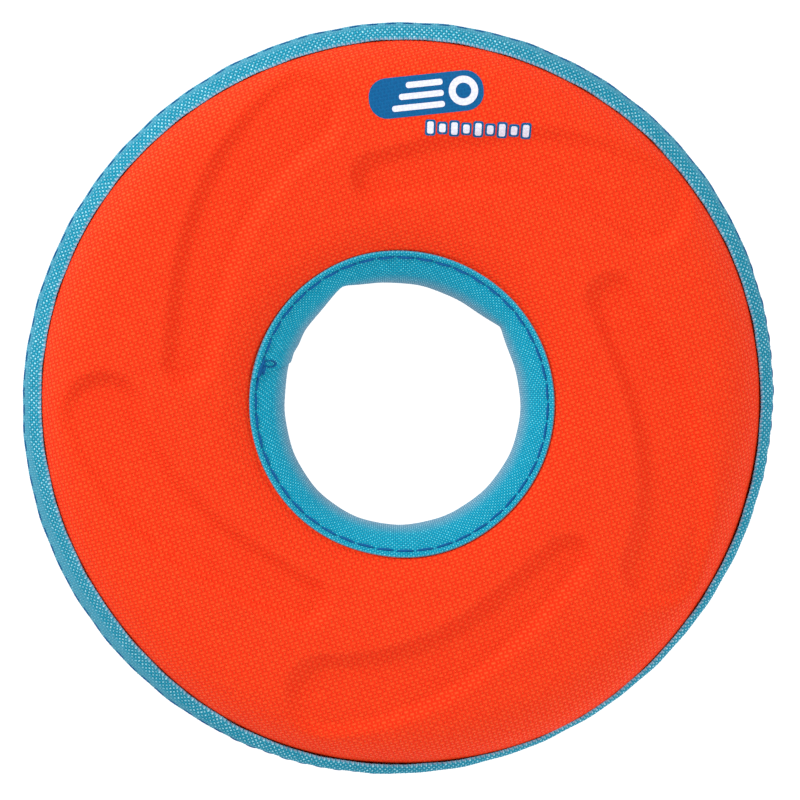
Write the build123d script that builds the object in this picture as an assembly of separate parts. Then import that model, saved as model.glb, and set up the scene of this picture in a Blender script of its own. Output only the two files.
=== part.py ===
from build123d import *

import math
import os

# Soft flying ring: two fabric-covered moulded foam halves laid face to face, bound with tape
# round the rim and with a woven strip round the hand hole, and sewn with two lockstitch seams.
# Millimetres. The ring rests on z = 0 with its axis on Z. Sections are drawn as (radius, height
# above the middle plane) and turned about Z; the finished pieces are lifted by half the height.

# Driving sizes
RING_DIAMETER = 165.0        # over the rim binding
RING_HEIGHT = 20.0           # over the two flat faces
HOLE_DIAMETER = 53.0         # clear hole inside the woven strip
COVER_THICKNESS = 0.5        # laminated cover fabric
BINDING_THICKNESS = 0.7      # rim tape
STRIP_THICKNESS = 0.5        # strip round the hole
RIM_SHOULDER_RADIUS = 14.0   # puffed curve of the face down to the rim
HOLE_SHOULDER_RADIUS = 18.0  # softer curve of the face down to the hole
SEAM_ALLOWANCE = 1.4         # flat edge of each cover that the rim tape grips
HOLE_FALL = 2.8              # how far the strip's edge stands below the flat
STRIP_BULGE = 4.7            # how far the strip swells into the hole past the cover edges
STRIP_GRIP = 2.3             # how far the strip lies on each cover
BINDING_COVERAGE = 3.2       # rim tape seen from above, from the rim to its free edge

# Pressed-in swirls, on both faces
SWIRL_COUNT = 5
SWIRL_DEPTH = 1.5
SWIRL_START = 32.0           # angle of the first swirl's wide end
SWIRL_RIM_MARGIN = 8.1       # from the rim to the wide end
SWIRL_HOLE_MARGIN = 11.5     # from the strip's edge to the narrow end
SWIRL_HEAD_WIDTH = 14.4
SWIRL_TAIL_WIDTH = 8.0
SWIRL_OUTER_BOW = 7.6        # how far the outer edge arches away from its chord
SWIRL_INNER_BOW = 6.4

# Seams
THREAD_WIDTH = 0.5
THREAD_HEIGHT = 0.25
RIM_STITCH_PITCH = 3.9
RIM_STITCH_LENGTH = 2.6
RIM_STITCH_ANGLE = 66.0      # where the thread lies on the rounded fold, from the middle plane
HOLE_STITCH_PITCH = 4.3
HOLE_STITCH_LENGTH = 3.5
HOLE_STITCH_INSET = 1.2      # from the strip's free edge to the stitch line
LAP_ANGLE = 168.4            # where the strip's upper end is cut off
LAP_STITCHES = 3             # length of the lap, in stitches
BACKTACK_THREADS = 4
BACKTACK_LENGTH = 2.2
BACKTACK_GAP = 0.15          # between neighbouring threads of the back-tack

# Print
INK_THICKNESS = 0.12
INK_MARGIN = 0.45            # blue showing round each white tag bar
BADGE_ANGLE = 85.3
BADGE_INSET = 15.6           # from the rim to the middle of the badge
BADGE_LENGTH = 25.0
BADGE_HEIGHT = 8.8
BADGE_TILT = 6.0
BADGE_RING_DIAMETER = 6.4
BADGE_RING_WIDTH = 1.5
BADGE_BAR_HEIGHT = 1.3
BADGE_BAR_GAP = 1.1
BADGE_BAR_COUNT = 3
TAG_ANGLE = 74.2
TAG_INSET = 21.0
TAG_TILT = -2.0
TAG_BARS = 9
TAG_BAR_WIDTH = 1.4
TAG_BAR_HEIGHT = 2.6
TAG_PITCH = 2.6

# Worked out from the sizes above
RIM_RADIUS = RING_DIAMETER / 2
HALF_HEIGHT = RING_HEIGHT / 2
HOLE_RADIUS = HOLE_DIAMETER / 2
COVER_RIM = RIM_RADIUS - BINDING_THICKNESS
SHOULDER_FOOT = COVER_RIM - SEAM_ALLOWANCE
COVER_HOLE_EDGE = HOLE_RADIUS + STRIP_BULGE
STRIP_EDGE = COVER_HOLE_EDGE + STRIP_GRIP
FOLD_RADIUS = COVER_THICKNESS + BINDING_THICKNESS
FOLD_CENTRE = RIM_RADIUS - FOLD_RADIUS
# How far the face falls from the flat to the seam allowance, and the run that takes
RIM_FALL = HALF_HEIGHT - COVER_THICKNESS
RIM_RUN = math.sqrt(2 * RIM_SHOULDER_RADIUS * RIM_FALL - RIM_FALL**2)
FLAT_OUTER = SHOULDER_FOOT - RIM_RUN
HOLE_RUN = math.sqrt(2 * HOLE_SHOULDER_RADIUS * HOLE_FALL - HOLE_FALL**2)
FLAT_INNER = STRIP_EDGE + HOLE_RUN
RIM_CENTRE = (FLAT_OUTER, HALF_HEIGHT - RIM_SHOULDER_RADIUS)
HOLE_CENTRE = (FLAT_INNER, HALF_HEIGHT - HOLE_SHOULDER_RADIUS)


def on_circle(centre, radius, angle):
    """Point at an angle in degrees on a circle in the section plane."""
    turn = math.radians(angle)
    return (centre[0] + radius * math.cos(turn), centre[1] + radius * math.sin(turn))


def angle_at(centre, radius, across):
    """Upper angle at which a circle in the section plane reaches a distance from the axis."""
    return math.degrees(math.acos((across - centre[0]) / radius))


def height_at(centre, radius, across):
    """Upper height of a circle in the section plane at a distance from the axis."""
    return centre[1] + math.sqrt(radius**2 - (across - centre[0]) ** 2)


# The strip's outer face leaves the cover edge at this height and swells to the hole radius
BULGE_TOP = height_at(HOLE_CENTRE, HOLE_SHOULDER_RADIUS + STRIP_THICKNESS, COVER_HOLE_EDGE)
BULGE_RADIUS = (STRIP_BULGE**2 + BULGE_TOP**2) / (2 * STRIP_BULGE)
BULGE_CENTRE = (HOLE_RADIUS + BULGE_RADIUS, 0.0)
BULGE_END = angle_at(BULGE_CENTRE, BULGE_RADIUS, COVER_HOLE_EDGE)


def arc(centre, radius, first, last):
    """Arc in the section plane between two angles."""
    middle = (first + last) / 2
    points = [on_circle(centre, radius, angle) for angle in (first, middle, last)]
    return ThreePointArc(*points)


def band(centre, inner, outer, first, last):
    """Face between two concentric arcs of the section plane."""
    low = arc(centre, inner, first, last)
    high = arc(centre, outer, first, last)
    return make_face([low, Line(low @ 1, high @ 1), high, Line(high @ 0, low @ 0)])


def box_face(left, right, low, high):
    """Upright rectangle of the section plane."""
    return Pos((left + right) / 2, (low + high) / 2) * Rectangle(right - left, high - low)


def turned(face, extent=360.0):
    """Solid swept by turning a section face about Z."""
    return revolve(Plane.XZ * face, Axis.Z, extent)


def turned_over(shape):
    """The same piece turned over about the X axis."""
    return shape.rotate(Axis.X, 180)


def half_section(inset):
    """Upper half of the ring's section, its face and shoulders set in by a distance."""
    rim_radius = RIM_SHOULDER_RADIUS - inset
    hole_radius = HOLE_SHOULDER_RADIUS - inset
    foot = COVER_THICKNESS - min(inset, COVER_THICKNESS)
    foot_angle = math.degrees(math.asin((foot - RIM_CENTRE[1]) / rim_radius))
    rim = arc(RIM_CENTRE, rim_radius, 90, foot_angle)
    hole = arc(HOLE_CENTRE, hole_radius, angle_at(HOLE_CENTRE, hole_radius, COVER_HOLE_EDGE), 90)
    start = hole @ 0
    below = Vector(start.X, 0)
    end = rim @ 1
    edges = [hole, Line(hole @ 1, rim @ 0), rim]
    if foot > 0:
        corner = Vector(COVER_RIM, foot)
        edges += [Line(end, corner), Line(corner, Vector(COVER_RIM, 0))]
        end = Vector(COVER_RIM, 0)
    edges += [Line(end, below), Line(below, start)]
    return make_face(edges)


def strip_section():
    """The woven strip: two flaps on the covers joined by the bulge into the hole."""
    outer = HOLE_SHOULDER_RADIUS + STRIP_THICKNESS
    free_edge = angle_at(HOLE_CENTRE, HOLE_SHOULDER_RADIUS, STRIP_EDGE)
    cover_edge = angle_at(HOLE_CENTRE, HOLE_SHOULDER_RADIUS, COVER_HOLE_EDGE)
    flap = band(HOLE_CENTRE, HOLE_SHOULDER_RADIUS, outer, free_edge, cover_edge)
    upper = flap + band(BULGE_CENTRE, BULGE_RADIUS - STRIP_THICKNESS, BULGE_RADIUS, BULGE_END, 180)
    return upper + mirror(upper, Plane.XZ)


def lap_section():
    """The strip's upper end, lying on the strip itself, from its free edge to mid bulge."""
    inner = HOLE_SHOULDER_RADIUS + STRIP_THICKNESS
    outer = inner + STRIP_THICKNESS
    free_edge = angle_at(HOLE_CENTRE, HOLE_SHOULDER_RADIUS, STRIP_EDGE)
    cover_edge = angle_at(HOLE_CENTRE, inner, COVER_HOLE_EDGE)
    flap = band(HOLE_CENTRE, inner, outer, free_edge, cover_edge)
    swell = band(BULGE_CENTRE, BULGE_RADIUS, BULGE_RADIUS + STRIP_THICKNESS, BULGE_END, 180)
    upper = flap + swell
    return upper + mirror(upper, Plane.XZ)


def binding_section():
    """The rim tape: a fold round both cover edges and a wing on each shoulder."""
    outer = RIM_SHOULDER_RADIUS + BINDING_THICKNESS
    foot_angle = math.degrees(math.asin((COVER_THICKNESS - RIM_CENTRE[1]) / RIM_SHOULDER_RADIUS))
    free_edge = angle_at(RIM_CENTRE, RIM_SHOULDER_RADIUS, RIM_RADIUS - BINDING_COVERAGE)
    wing = band(RIM_CENTRE, RIM_SHOULDER_RADIUS, outer, foot_angle, free_edge)
    grip = box_face(SHOULDER_FOOT, FOLD_CENTRE, -FOLD_RADIUS, FOLD_RADIUS)
    rounded = Pos(FOLD_CENTRE, 0) * Circle(FOLD_RADIUS)
    fold = rounded & box_face(FOLD_CENTRE, RIM_RADIUS, -FOLD_RADIUS, FOLD_RADIUS)
    pocket = box_face(SHOULDER_FOOT - FOLD_RADIUS, COVER_RIM, -COVER_THICKNESS, COVER_THICKNESS)
    return wing + mirror(wing, Plane.XZ) + grip + fold - pocket


def swirl_outline():
    """One swirl as a flat face: two long arcs and a round end at each end of them."""
    head_outer = RIM_RADIUS - SWIRL_RIM_MARGIN
    head_inner = head_outer - SWIRL_HEAD_WIDTH
    tail_inner = STRIP_EDGE + SWIRL_HOLE_MARGIN
    tail_outer = tail_inner + SWIRL_TAIL_WIDTH

    def polar(radius, angle):
        return Vector(radius, 0).rotate(Axis.Z, angle)

    head_out, head_in = polar(head_outer, 6), polar(head_inner, 2)
    tail_out, tail_in = polar(tail_outer, 66), polar(tail_inner, 64)
    head_tip = (head_out + head_in) * 0.5 - Vector(0, SWIRL_HEAD_WIDTH * 0.34)
    along = Vector(0, 1).rotate(Axis.Z, 65)
    tail_tip = (tail_out + tail_in) * 0.5 + along * (SWIRL_TAIL_WIDTH * 0.45)
    edges = [
        SagittaArc(head_out, tail_out, -SWIRL_OUTER_BOW),
        ThreePointArc(tail_out, tail_tip, tail_in),
        SagittaArc(tail_in, head_in, SWIRL_INNER_BOW),
        ThreePointArc(head_in, head_tip, head_out),
    ]
    return make_face(edges).rotate(Axis.Z, SWIRL_START)


def relief_body(inset):
    """Upper half of the ring set in by a distance, with the swirls pressed into its face."""
    body = turned(half_section(inset))
    floor = Pos(0, 0, -SWIRL_DEPTH) * body
    outline = swirl_outline()
    if inset:
        outline = offset(outline, inset)
    base = HALF_HEIGHT / 3
    prism = extrude(Pos(0, 0, base) * outline, HALF_HEIGHT + 1 - base)
    cut = prism - floor
    for index in range(SWIRL_COUNT):
        body -= cut.rotate(Axis.Z, index * 360 / SWIRL_COUNT)
    return body


def film(layer, outline):
    """One layer of ink on the top face, inside a flat outline."""
    top = relief_body(-INK_THICKNESS * (layer + 1))
    below = relief_body(-INK_THICKNESS * layer)
    prism = extrude(Pos(0, 0, HALF_HEIGHT / 3) * outline, HALF_HEIGHT)
    return (top & prism) - below


def placed(shape, angle, inset, tilt):
    """A flat print shape moved to its place near the rim, upright when seen from above."""
    radius = RIM_RADIUS - inset
    spot = Vector(radius, 0).rotate(Axis.Z, angle)
    return Pos(spot.X, spot.Y) * Rot(0, 0, tilt) * shape


def badge_shapes():
    """Ground and mark of the badge: a round-ended plate with a ring and trailing bars."""
    ground = RectangleRounded(BADGE_LENGTH, BADGE_HEIGHT, BADGE_HEIGHT * 0.45)
    ring_x = BADGE_LENGTH / 2 - BADGE_HEIGHT / 2
    disc = Circle(BADGE_RING_DIAMETER / 2)
    mark = Pos(ring_x, 0) * (disc - Circle(BADGE_RING_DIAMETER / 2 - BADGE_RING_WIDTH))
    bar_end = ring_x - BADGE_RING_DIAMETER / 2 - BADGE_BAR_GAP
    for index in range(BADGE_BAR_COUNT):
        height = (index - (BADGE_BAR_COUNT - 1) / 2) * (BADGE_BAR_HEIGHT + BADGE_BAR_GAP)
        length = BADGE_LENGTH * (0.46 - 0.07 * index)
        bar = RectangleRounded(length, BADGE_BAR_HEIGHT, BADGE_BAR_HEIGHT * 0.45)
        mark += Pos(bar_end - length / 2, height) * bar
    return ground, mark


def tag_shapes():
    """Grounds and marks of the tag: a row of upright bars, each with a margin round it."""
    ground = Sketch()
    mark = Sketch()
    for index in range(TAG_BARS):
        across = (index - (TAG_BARS - 1) / 2) * TAG_PITCH
        height = TAG_BAR_HEIGHT * (1.0 if index % 2 == 0 else 0.7)
        width = TAG_BAR_WIDTH
        bar = RectangleRounded(width, height, width * 0.3)
        edge = RectangleRounded(width + 2 * INK_MARGIN, height + 2 * INK_MARGIN, width * 0.4)
        ground += Pos(across, 0) * edge
        mark += Pos(across, 0) * bar
    return ground, mark


def stitch(centre, surface, across, length, radius_from_axis):
    """One visible stitch lying on a turned surface, centred on the XZ plane."""
    middle = angle_at(centre, surface, across)
    half = math.degrees(THREAD_WIDTH / 2 / surface)
    face = band(centre, surface, surface + THREAD_HEIGHT, middle - half, middle + half)
    extent = math.degrees(length / radius_from_axis)
    return turned(face, extent).rotate(Axis.Z, -extent / 2)


def rim_stitches():
    """The rim seam's upper thread, which lies on the fold of the tape."""
    line = on_circle((FOLD_CENTRE, 0), FOLD_RADIUS, RIM_STITCH_ANGLE)[0]
    count = round(2 * math.pi * line / RIM_STITCH_PITCH)
    one = stitch((FOLD_CENTRE, 0), FOLD_RADIUS, line, RIM_STITCH_LENGTH, line)
    return [one.rotate(Axis.Z, index * 360 / count) for index in range(count)]


def hole_stitches():
    """The hole seam's upper thread on the strip, raised where it crosses the lap."""
    line = STRIP_EDGE - HOLE_STITCH_INSET
    count = round(2 * math.pi * line / HOLE_STITCH_PITCH)
    step = 360 / count
    surface = HOLE_SHOULDER_RADIUS + STRIP_THICKNESS
    low = stitch(HOLE_CENTRE, surface, line, HOLE_STITCH_LENGTH, line)
    high = stitch(HOLE_CENTRE, surface + STRIP_THICKNESS, line, HOLE_STITCH_LENGTH, line)
    stitches = []
    for index in range(count):
        one = high if index < LAP_STITCHES else low
        stitches.append(one.rotate(Axis.Z, LAP_ANGLE - (index + 0.5) * step))
    return stitches, step


def backtack(step):
    """Short threads side by side that lock the seam where the strip's end is cut off."""
    surface = BULGE_RADIUS + STRIP_THICKNESS
    gap = math.degrees(1.0 / surface)
    first = BULGE_END + gap
    length = math.degrees(BACKTACK_LENGTH / surface)
    face = band(BULGE_CENTRE, surface, surface + THREAD_HEIGHT, first, first + length)
    thread = turned(face, math.degrees(THREAD_WIDTH / COVER_HOLE_EDGE))
    pitch = math.degrees((THREAD_WIDTH + BACKTACK_GAP) / COVER_HOLE_EDGE)
    start = LAP_ANGLE - step
    return [thread.rotate(Axis.Z, start + index * pitch) for index in range(BACKTACK_THREADS)]


def build():
    """Every piece of the ring, by node name, about the middle plane."""
    skin = relief_body(0)
    filling = relief_body(COVER_THICKNESS)
    top_cover = skin - filling

    strip = strip_section()
    inside = Pos(BULGE_CENTRE) * Circle(BULGE_RADIUS - STRIP_THICKNESS)
    swell = inside & box_face(HOLE_RADIUS, COVER_HOLE_EDGE, 0, BULGE_RADIUS)
    top_foam = filling + turned(swell - strip)

    stitches, step = hole_stitches()
    inner_binding = turned(strip)
    lap_extent = LAP_STITCHES * step
    inner_binding += turned(lap_section(), lap_extent).rotate(Axis.Z, LAP_ANGLE - lap_extent)
    rim = rim_stitches()

    badge_ground, badge_mark = badge_shapes()
    tag_ground, tag_mark = tag_shapes()
    badge_at = (BADGE_ANGLE, BADGE_INSET, BADGE_TILT)
    tag_at = (TAG_ANGLE, TAG_INSET, TAG_TILT)

    return {
        "top_cover": top_cover,
        "bottom_cover": turned_over(top_cover),
        "top_foam_half": top_foam,
        "bottom_foam_half": turned_over(top_foam),
        "outer_binding": turned(binding_section()),
        "inner_binding": inner_binding,
        "outer_needle_stitches": Compound(rim),
        "outer_bobbin_stitches": Compound([turned_over(one) for one in rim]),
        "inner_needle_stitches": Compound(stitches),
        "inner_bobbin_stitches": Compound([one.mirror(Plane.XY) for one in stitches]),
        "lap_backtack": Compound(backtack(step)),
        "badge_ground": film(0, placed(badge_ground, *badge_at)),
        "badge_mark": film(1, placed(badge_mark, *badge_at)),
        "tag_ground": film(0, placed(tag_ground, *tag_at)),
        "tag_mark": film(1, placed(tag_mark, *tag_at)),
    }


os.makedirs("parts", exist_ok=True)
for name, shape in build().items():
    export_step(Pos(0, 0, HALF_HEIGHT) * shape, f"parts/{name}.step")
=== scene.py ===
"""Soft flying ring: fabric covers on moulded foam, bound with tape at the rim and a woven strip
round the hand hole. Metres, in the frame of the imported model, with the ring's axis on Z."""

import logging
import math
from dataclasses import dataclass, field
from enum import Enum
from typing import Iterable, Optional, Sequence

import bpy
import numpy as np
from mathutils import Matrix, Vector

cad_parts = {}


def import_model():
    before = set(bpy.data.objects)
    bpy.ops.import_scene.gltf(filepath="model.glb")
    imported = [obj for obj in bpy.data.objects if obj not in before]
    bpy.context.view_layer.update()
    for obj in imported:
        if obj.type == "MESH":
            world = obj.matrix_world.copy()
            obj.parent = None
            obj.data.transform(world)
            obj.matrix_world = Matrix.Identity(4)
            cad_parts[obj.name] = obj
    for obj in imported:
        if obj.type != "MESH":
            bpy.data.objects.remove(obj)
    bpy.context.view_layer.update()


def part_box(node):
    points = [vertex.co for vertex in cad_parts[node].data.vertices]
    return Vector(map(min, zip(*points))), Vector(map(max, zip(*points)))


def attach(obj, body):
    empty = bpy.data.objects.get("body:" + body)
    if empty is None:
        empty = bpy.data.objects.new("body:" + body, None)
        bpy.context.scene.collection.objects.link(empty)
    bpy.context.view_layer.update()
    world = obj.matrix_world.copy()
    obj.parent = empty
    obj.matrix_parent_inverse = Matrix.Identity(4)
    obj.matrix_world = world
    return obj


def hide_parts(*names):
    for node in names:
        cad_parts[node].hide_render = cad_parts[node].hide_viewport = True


LOG = logging.getLogger("ring")
MM = 0.001
TURN = 2 * math.pi
RIM_STITCHES = 132
HOLE_STITCHES = 47
COVER_PITCH = (1.06 * MM, 0.76 * MM)
WEAVE_TURN = 17.0


class Slot(Enum):
    """Material slots of the record, by name; the print films are listed with one each, but no piece
    takes its finish from them.
    """

    COVER = "cover_fabric"
    FOAM = "foam"
    TAPE = "binding_tape"
    STRIP = "hole_strip"
    THREAD = "seam_thread"
    BLUE_INK = "blue_ink"
    WHITE_INK = "white_ink"


class Side(Enum):
    """The two faces of the ring."""

    TOP = 1
    BOTTOM = -1


# ---------------------------------------------------------------- shaping helpers


def eased(value: np.ndarray) -> np.ndarray:
    """Smooth step from 0 to 1."""
    kept = np.clip(value, 0.0, 1.0)
    return kept * kept * (3 - 2 * kept)


def apart(angle: np.ndarray, centre: float) -> np.ndarray:
    """Signed difference in degrees from an angle, from -180 to 180.

    Args:
        angle: Angles in radians.
        centre: The angle in degrees they are taken from.

    Returns:
        The differences in degrees.
    """
    return (np.degrees(angle) - centre + 180) % 360 - 180


def round_table(angle: np.ndarray, table: Sequence[tuple[float, float]]) -> np.ndarray:
    """Smooth values round the ring through a few given ones.

    Args:
        angle: Angles in radians.
        table: Pairs of angle in degrees and value, in rising order of angle.

    Returns:
        One value for each angle, easing from each set value to the next.
    """
    places = np.array([row[0] for row in table], float)
    values = np.array([row[1] for row in table], float)
    fine = np.arange(0, 360, 1.0)
    rough = np.interp(fine, places, values, period=360)
    kernel = np.exp(-0.5 * (np.arange(-24, 25) / 7.0) ** 2)
    kernel /= kernel.sum()
    smooth = np.convolve(np.concatenate([rough[-24:], rough, rough[:24]]), kernel, "valid")
    return np.interp(np.degrees(angle) % 360, fine, smooth, period=360)


def smooth_path(points: Sequence[tuple[float, float]], step: float) -> np.ndarray:
    """Evenly spaced points on a smooth curve through the given ones.

    Args:
        points: Corner points in the section plane.
        step: Spacing along the curve.

    Returns:
        Points, one row each.
    """
    given = np.array(points, float)
    ends = np.vstack([2 * given[0] - given[1], given, 2 * given[-1] - given[-2]])
    pieces = []
    for index in range(len(given) - 1):
        before, start, end, after = ends[index : index + 4]
        t = np.linspace(0, 1, 24, endpoint=False)[:, None]
        pieces.append(
            0.5
            * (
                2 * start
                + (end - before) * t
                + (2 * before - 5 * start + 4 * end - after) * t**2
                + (3 * start - before - 3 * end + after) * t**3
            )
        )
    line = np.vstack(pieces + [given[-1:]])
    run = lengths(line)
    count = max(int(round(run[-1] / step)), 2) + 1
    even = np.linspace(0, run[-1], count)
    return np.stack([np.interp(even, run, line[:, 0]), np.interp(even, run, line[:, 1])], axis=1)


def lengths(line: np.ndarray) -> np.ndarray:
    """Distance along a line of points, from its first point."""
    steps = np.linalg.norm(np.diff(line, axis=0), axis=1)
    return np.concatenate([[0.0], np.cumsum(steps)])


def normals_of(line: np.ndarray) -> np.ndarray:
    """Unit normals of a line in the section plane, on its left side as it runs."""
    along = np.gradient(line, axis=0)
    along /= np.linalg.norm(along, axis=1)[:, None]
    return np.stack([-along[:, 1], along[:, 0]], axis=1)


def ring_mesh(name: str, points: np.ndarray, uv: np.ndarray) -> bpy.types.Object:
    """A closed band round the axis, from a grid that joins up both ways.

    Args:
        name: Name of the new object.
        points: Grid of points, columns round the ring by rows round the section by 3.
        uv: Cloth coordinates of the grid, with one more column and one more row.

    Returns:
        The new object, smooth shaded, with its faces outwards.
    """
    columns, rows = points.shape[:2]
    c, r = np.meshgrid(np.arange(columns), np.arange(rows), indexing="ij")
    nc, nr = (c + 1) % columns, (r + 1) % rows
    quads = np.stack([c * rows + r, nc * rows + r, nc * rows + nr, c * rows + nr], axis=-1)
    quads = quads.reshape(-1, 4)
    corners = np.stack([uv[c, r], uv[c + 1, r], uv[c + 1, r + 1], uv[c, r + 1]], axis=2)
    corners = corners.reshape(-1, 4, 2)
    flat = points.reshape(-1, 3)
    a, b, d = flat[quads[:, 0]], flat[quads[:, 1]], flat[quads[:, 2]]
    e = flat[quads[:, 3]]
    volume = (a * np.cross(b, d)).sum() + (a * np.cross(d, e)).sum()
    if volume < 0:
        quads, corners = quads[:, ::-1], corners[:, ::-1]
    mesh = bpy.data.meshes.new(name)
    mesh.from_pydata(flat, [], quads)
    mesh.update()
    layer = mesh.uv_layers.new(name="cloth")
    layer.data.foreach_set("uv", np.ascontiguousarray(corners, dtype=np.float32).ravel())
    mesh.polygons.foreach_set("use_smooth", np.ones(len(quads), bool))
    made = bpy.data.objects.new(name, mesh)
    bpy.context.scene.collection.objects.link(made)
    return made


def angles_round(count: int) -> np.ndarray:
    """Evenly spaced angles round the ring."""
    return np.arange(count) * TURN / count


def turned_over(points: np.ndarray) -> np.ndarray:
    """A grid of points turned over about the X axis of the middle plane."""
    return points * np.array([1.0, -1.0, -1.0])


def flattened(points: np.ndarray, height: float) -> np.ndarray:
    """Points of an upper face, pressed flat above a height as it will be by the floor."""
    out = np.array(points, float)
    out[..., 2] = np.minimum(out[..., 2], height - 0.02 * MM)
    return out


def only(obj: bpy.types.Object) -> None:
    """Deselects everything and makes one object selected and active."""
    bpy.ops.object.select_all(action="DESELECT")
    obj.select_set(True)
    bpy.context.view_layer.objects.active = obj


def edit_all() -> None:
    """Opens the active object for editing with all of it selected."""
    bpy.ops.object.mode_set(mode="EDIT")
    bpy.ops.mesh.select_all(action="SELECT")


def cloth_layer(mesh: bpy.types.Mesh) -> bpy.types.MeshUVLoopLayer:
    """Swaps a mesh's coordinates for one empty layer of cloth coordinates."""
    for layer in list(mesh.uv_layers):
        mesh.uv_layers.remove(layer)
    return mesh.uv_layers.new(name="cloth")


def joined(objects: Sequence[bpy.types.Object], name: str) -> bpy.types.Object:
    """Joins objects into one and names it.

    Args:
        objects: The pieces to join.
        name: Name of the result.

    Returns:
        The joined object.
    """
    only(objects[0])
    for obj in objects:
        obj.select_set(True)
    if len(objects) > 1:
        bpy.ops.object.join()
    made = bpy.context.view_layer.objects.active
    made.name = name
    made.data.name = name
    return made


def copied(pattern: bpy.types.Object, places: Iterable[Matrix], name: str) -> bpy.types.Object:
    """Copies a pattern piece to many places, each with its own mesh, and joins the copies.

    Args:
        pattern: The piece modelled once.
        places: Where each copy goes.
        name: Name of the joined piece.

    Returns:
        The joined piece.
    """
    made = []
    for place in places:
        mesh = pattern.data.copy()
        mesh.transform(place)
        copy = bpy.data.objects.new(name, mesh)
        bpy.context.scene.collection.objects.link(copy)
        made.append(copy)
    return joined(made, name)


def discard(obj: bpy.types.Object) -> None:
    """Removes a pattern piece that has been copied."""
    bpy.data.objects.remove(obj, do_unlink=True)


def dressed(obj: bpy.types.Object, material: bpy.types.Material, node: str) -> None:
    """Gives a piece its material and its place in the frame.

    Args:
        obj: The finished piece.
        material: Its material.
        node: The frame node it replaces.
    """
    obj.data.materials.clear()
    obj.data.materials.append(material)
    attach(obj, "root")
    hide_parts(node)
    LOG.info("%s: %d faces", obj.name, len(obj.data.polygons))


# ---------------------------------------------------------------- the ring's own shape


@dataclass(frozen=True)
class RingShape:
    """Sizes of the ring, and the surface its covers follow.

    Heights are above the middle plane until a point is placed.
    """

    rim: float
    half_height: float
    hole: float
    strip_edge: float
    cover_edge: float
    cover_rim: float
    cover: float = 0.5 * MM
    rim_shoulder: float = 14.0 * MM
    hole_shoulder: float = 18.0 * MM
    allowance: float = 1.4 * MM
    hole_fall: float = 2.8 * MM
    oval: float = 0.72 * MM
    oval_angle: float = 48.7
    hole_shift: float = 0.9 * MM
    hole_shift_angle: float = -70.0

    @classmethod
    def from_frame(cls) -> "RingShape":
        """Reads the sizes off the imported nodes' boxes."""
        tape, strip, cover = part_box("outer_binding"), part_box("inner_binding"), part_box("top_cover")
        strip_edge = strip[1][0]
        return cls(
            rim=tape[1][0],
            half_height=cover[1][2] / 2,
            hole=strip_edge - 7.0 * MM,
            strip_edge=strip_edge,
            cover_edge=strip_edge - 2.3 * MM,
            cover_rim=cover[1][0],
        )

    @property
    def foot(self) -> float:
        """Radius where the rim shoulder meets the flat seam allowance."""
        return self.cover_rim - self.allowance

    @property
    def flat_outer(self) -> float:
        """Radius where the flat face starts to fall to the rim."""
        fall = self.half_height - self.cover
        return self.foot - math.sqrt(2 * self.rim_shoulder * fall - fall**2)

    @property
    def flat_inner(self) -> float:
        """Radius where the flat face starts to fall to the hole."""
        fall = self.hole_fall
        return self.strip_edge + math.sqrt(2 * self.hole_shoulder * fall - fall**2)

    def height(self, radius: np.ndarray, raised: float = 0.0) -> np.ndarray:
        """Height of the face over the middle plane.

        Args:
            radius: Distances from the axis.
            raised: How far the surface stands out from the face.

        Returns:
            The heights.
        """
        rim_r, hole_r = self.rim_shoulder + raised, self.hole_shoulder + raised
        out = np.clip(radius - self.flat_outer, 0, rim_r)
        into = np.clip(self.flat_inner - radius, 0, hole_r)
        fall = rim_r - np.sqrt(rim_r**2 - out**2) + hole_r - np.sqrt(hole_r**2 - into**2)
        return self.half_height + raised - fall

    def settled(self, points: np.ndarray) -> np.ndarray:
        """Points as the sewn ring really lies: slightly oval, with its hole off centre.

        Args:
            points: Points of the true ring, in metres, with heights above the middle plane.

        Returns:
            The points in the frame, lifted so that the ring rests on the floor.
        """
        out = np.array(points, float)
        radius = np.hypot(out[..., 0], out[..., 1])
        angle = np.arctan2(out[..., 1], out[..., 0])
        share = np.clip((radius - self.hole) / (self.rim - self.hole), 0, 1)
        oval = self.oval * np.cos(2 * (angle - math.radians(self.oval_angle)))
        shift = self.hole_shift * np.cos(angle - math.radians(self.hole_shift_angle))
        grown = (radius + oval * share + shift * (1 - share)) / np.maximum(radius, 1e-9)
        out[..., 0] *= grown
        out[..., 1] *= grown
        out[..., 2] += self.half_height
        return out


@dataclass(frozen=True)
class Swirls:
    """The five pressed-in swirls, wide at the rim and narrow towards the hole."""

    count: int = 5
    start: float = 32.0
    centre: tuple[float, float] = (1.9 * MM, 0.6 * MM)
    depth: float = 2.0 * MM
    wall: float = 4.2 * MM
    spread: float = 0.5 * MM

    def spine(self, index: int) -> tuple[np.ndarray, np.ndarray]:
        """Centre line and half width of one swirl.

        Args:
            index: Which swirl.

        Returns:
            Points in plan and the half width at each.
        """
        u = np.linspace(0, 1, 44)
        turn = np.radians(self.start + index * 360 / self.count + 6.5 + 60 * u)
        radius = (66.5 - 18.1 * u - 16.4 * u**2 + 17.0 * u**3) * MM
        half = (7.5 - 3.9 * u + 0.4 * u**2) * MM + self.spread
        line = np.stack([radius * np.cos(turn), radius * np.sin(turn)], axis=1)
        return line + np.array(self.centre), half

    def pressed(self, plan: np.ndarray) -> np.ndarray:
        """How deep the face is pressed at each point.

        Args:
            plan: Points in plan, one row each.

        Returns:
            Depths.
        """
        nearest = np.full(len(plan), 1.0)
        for index in range(self.count):
            line, half = self.spine(index)
            for spot, width in zip(line, half):
                reach = np.hypot(plan[:, 0] - spot[0], plan[:, 1] - spot[1]) - width
                np.minimum(nearest, reach, out=nearest)
        return self.depth * eased(0.5 - nearest / self.wall)


# ---------------------------------------------------------------- node wiring


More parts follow.
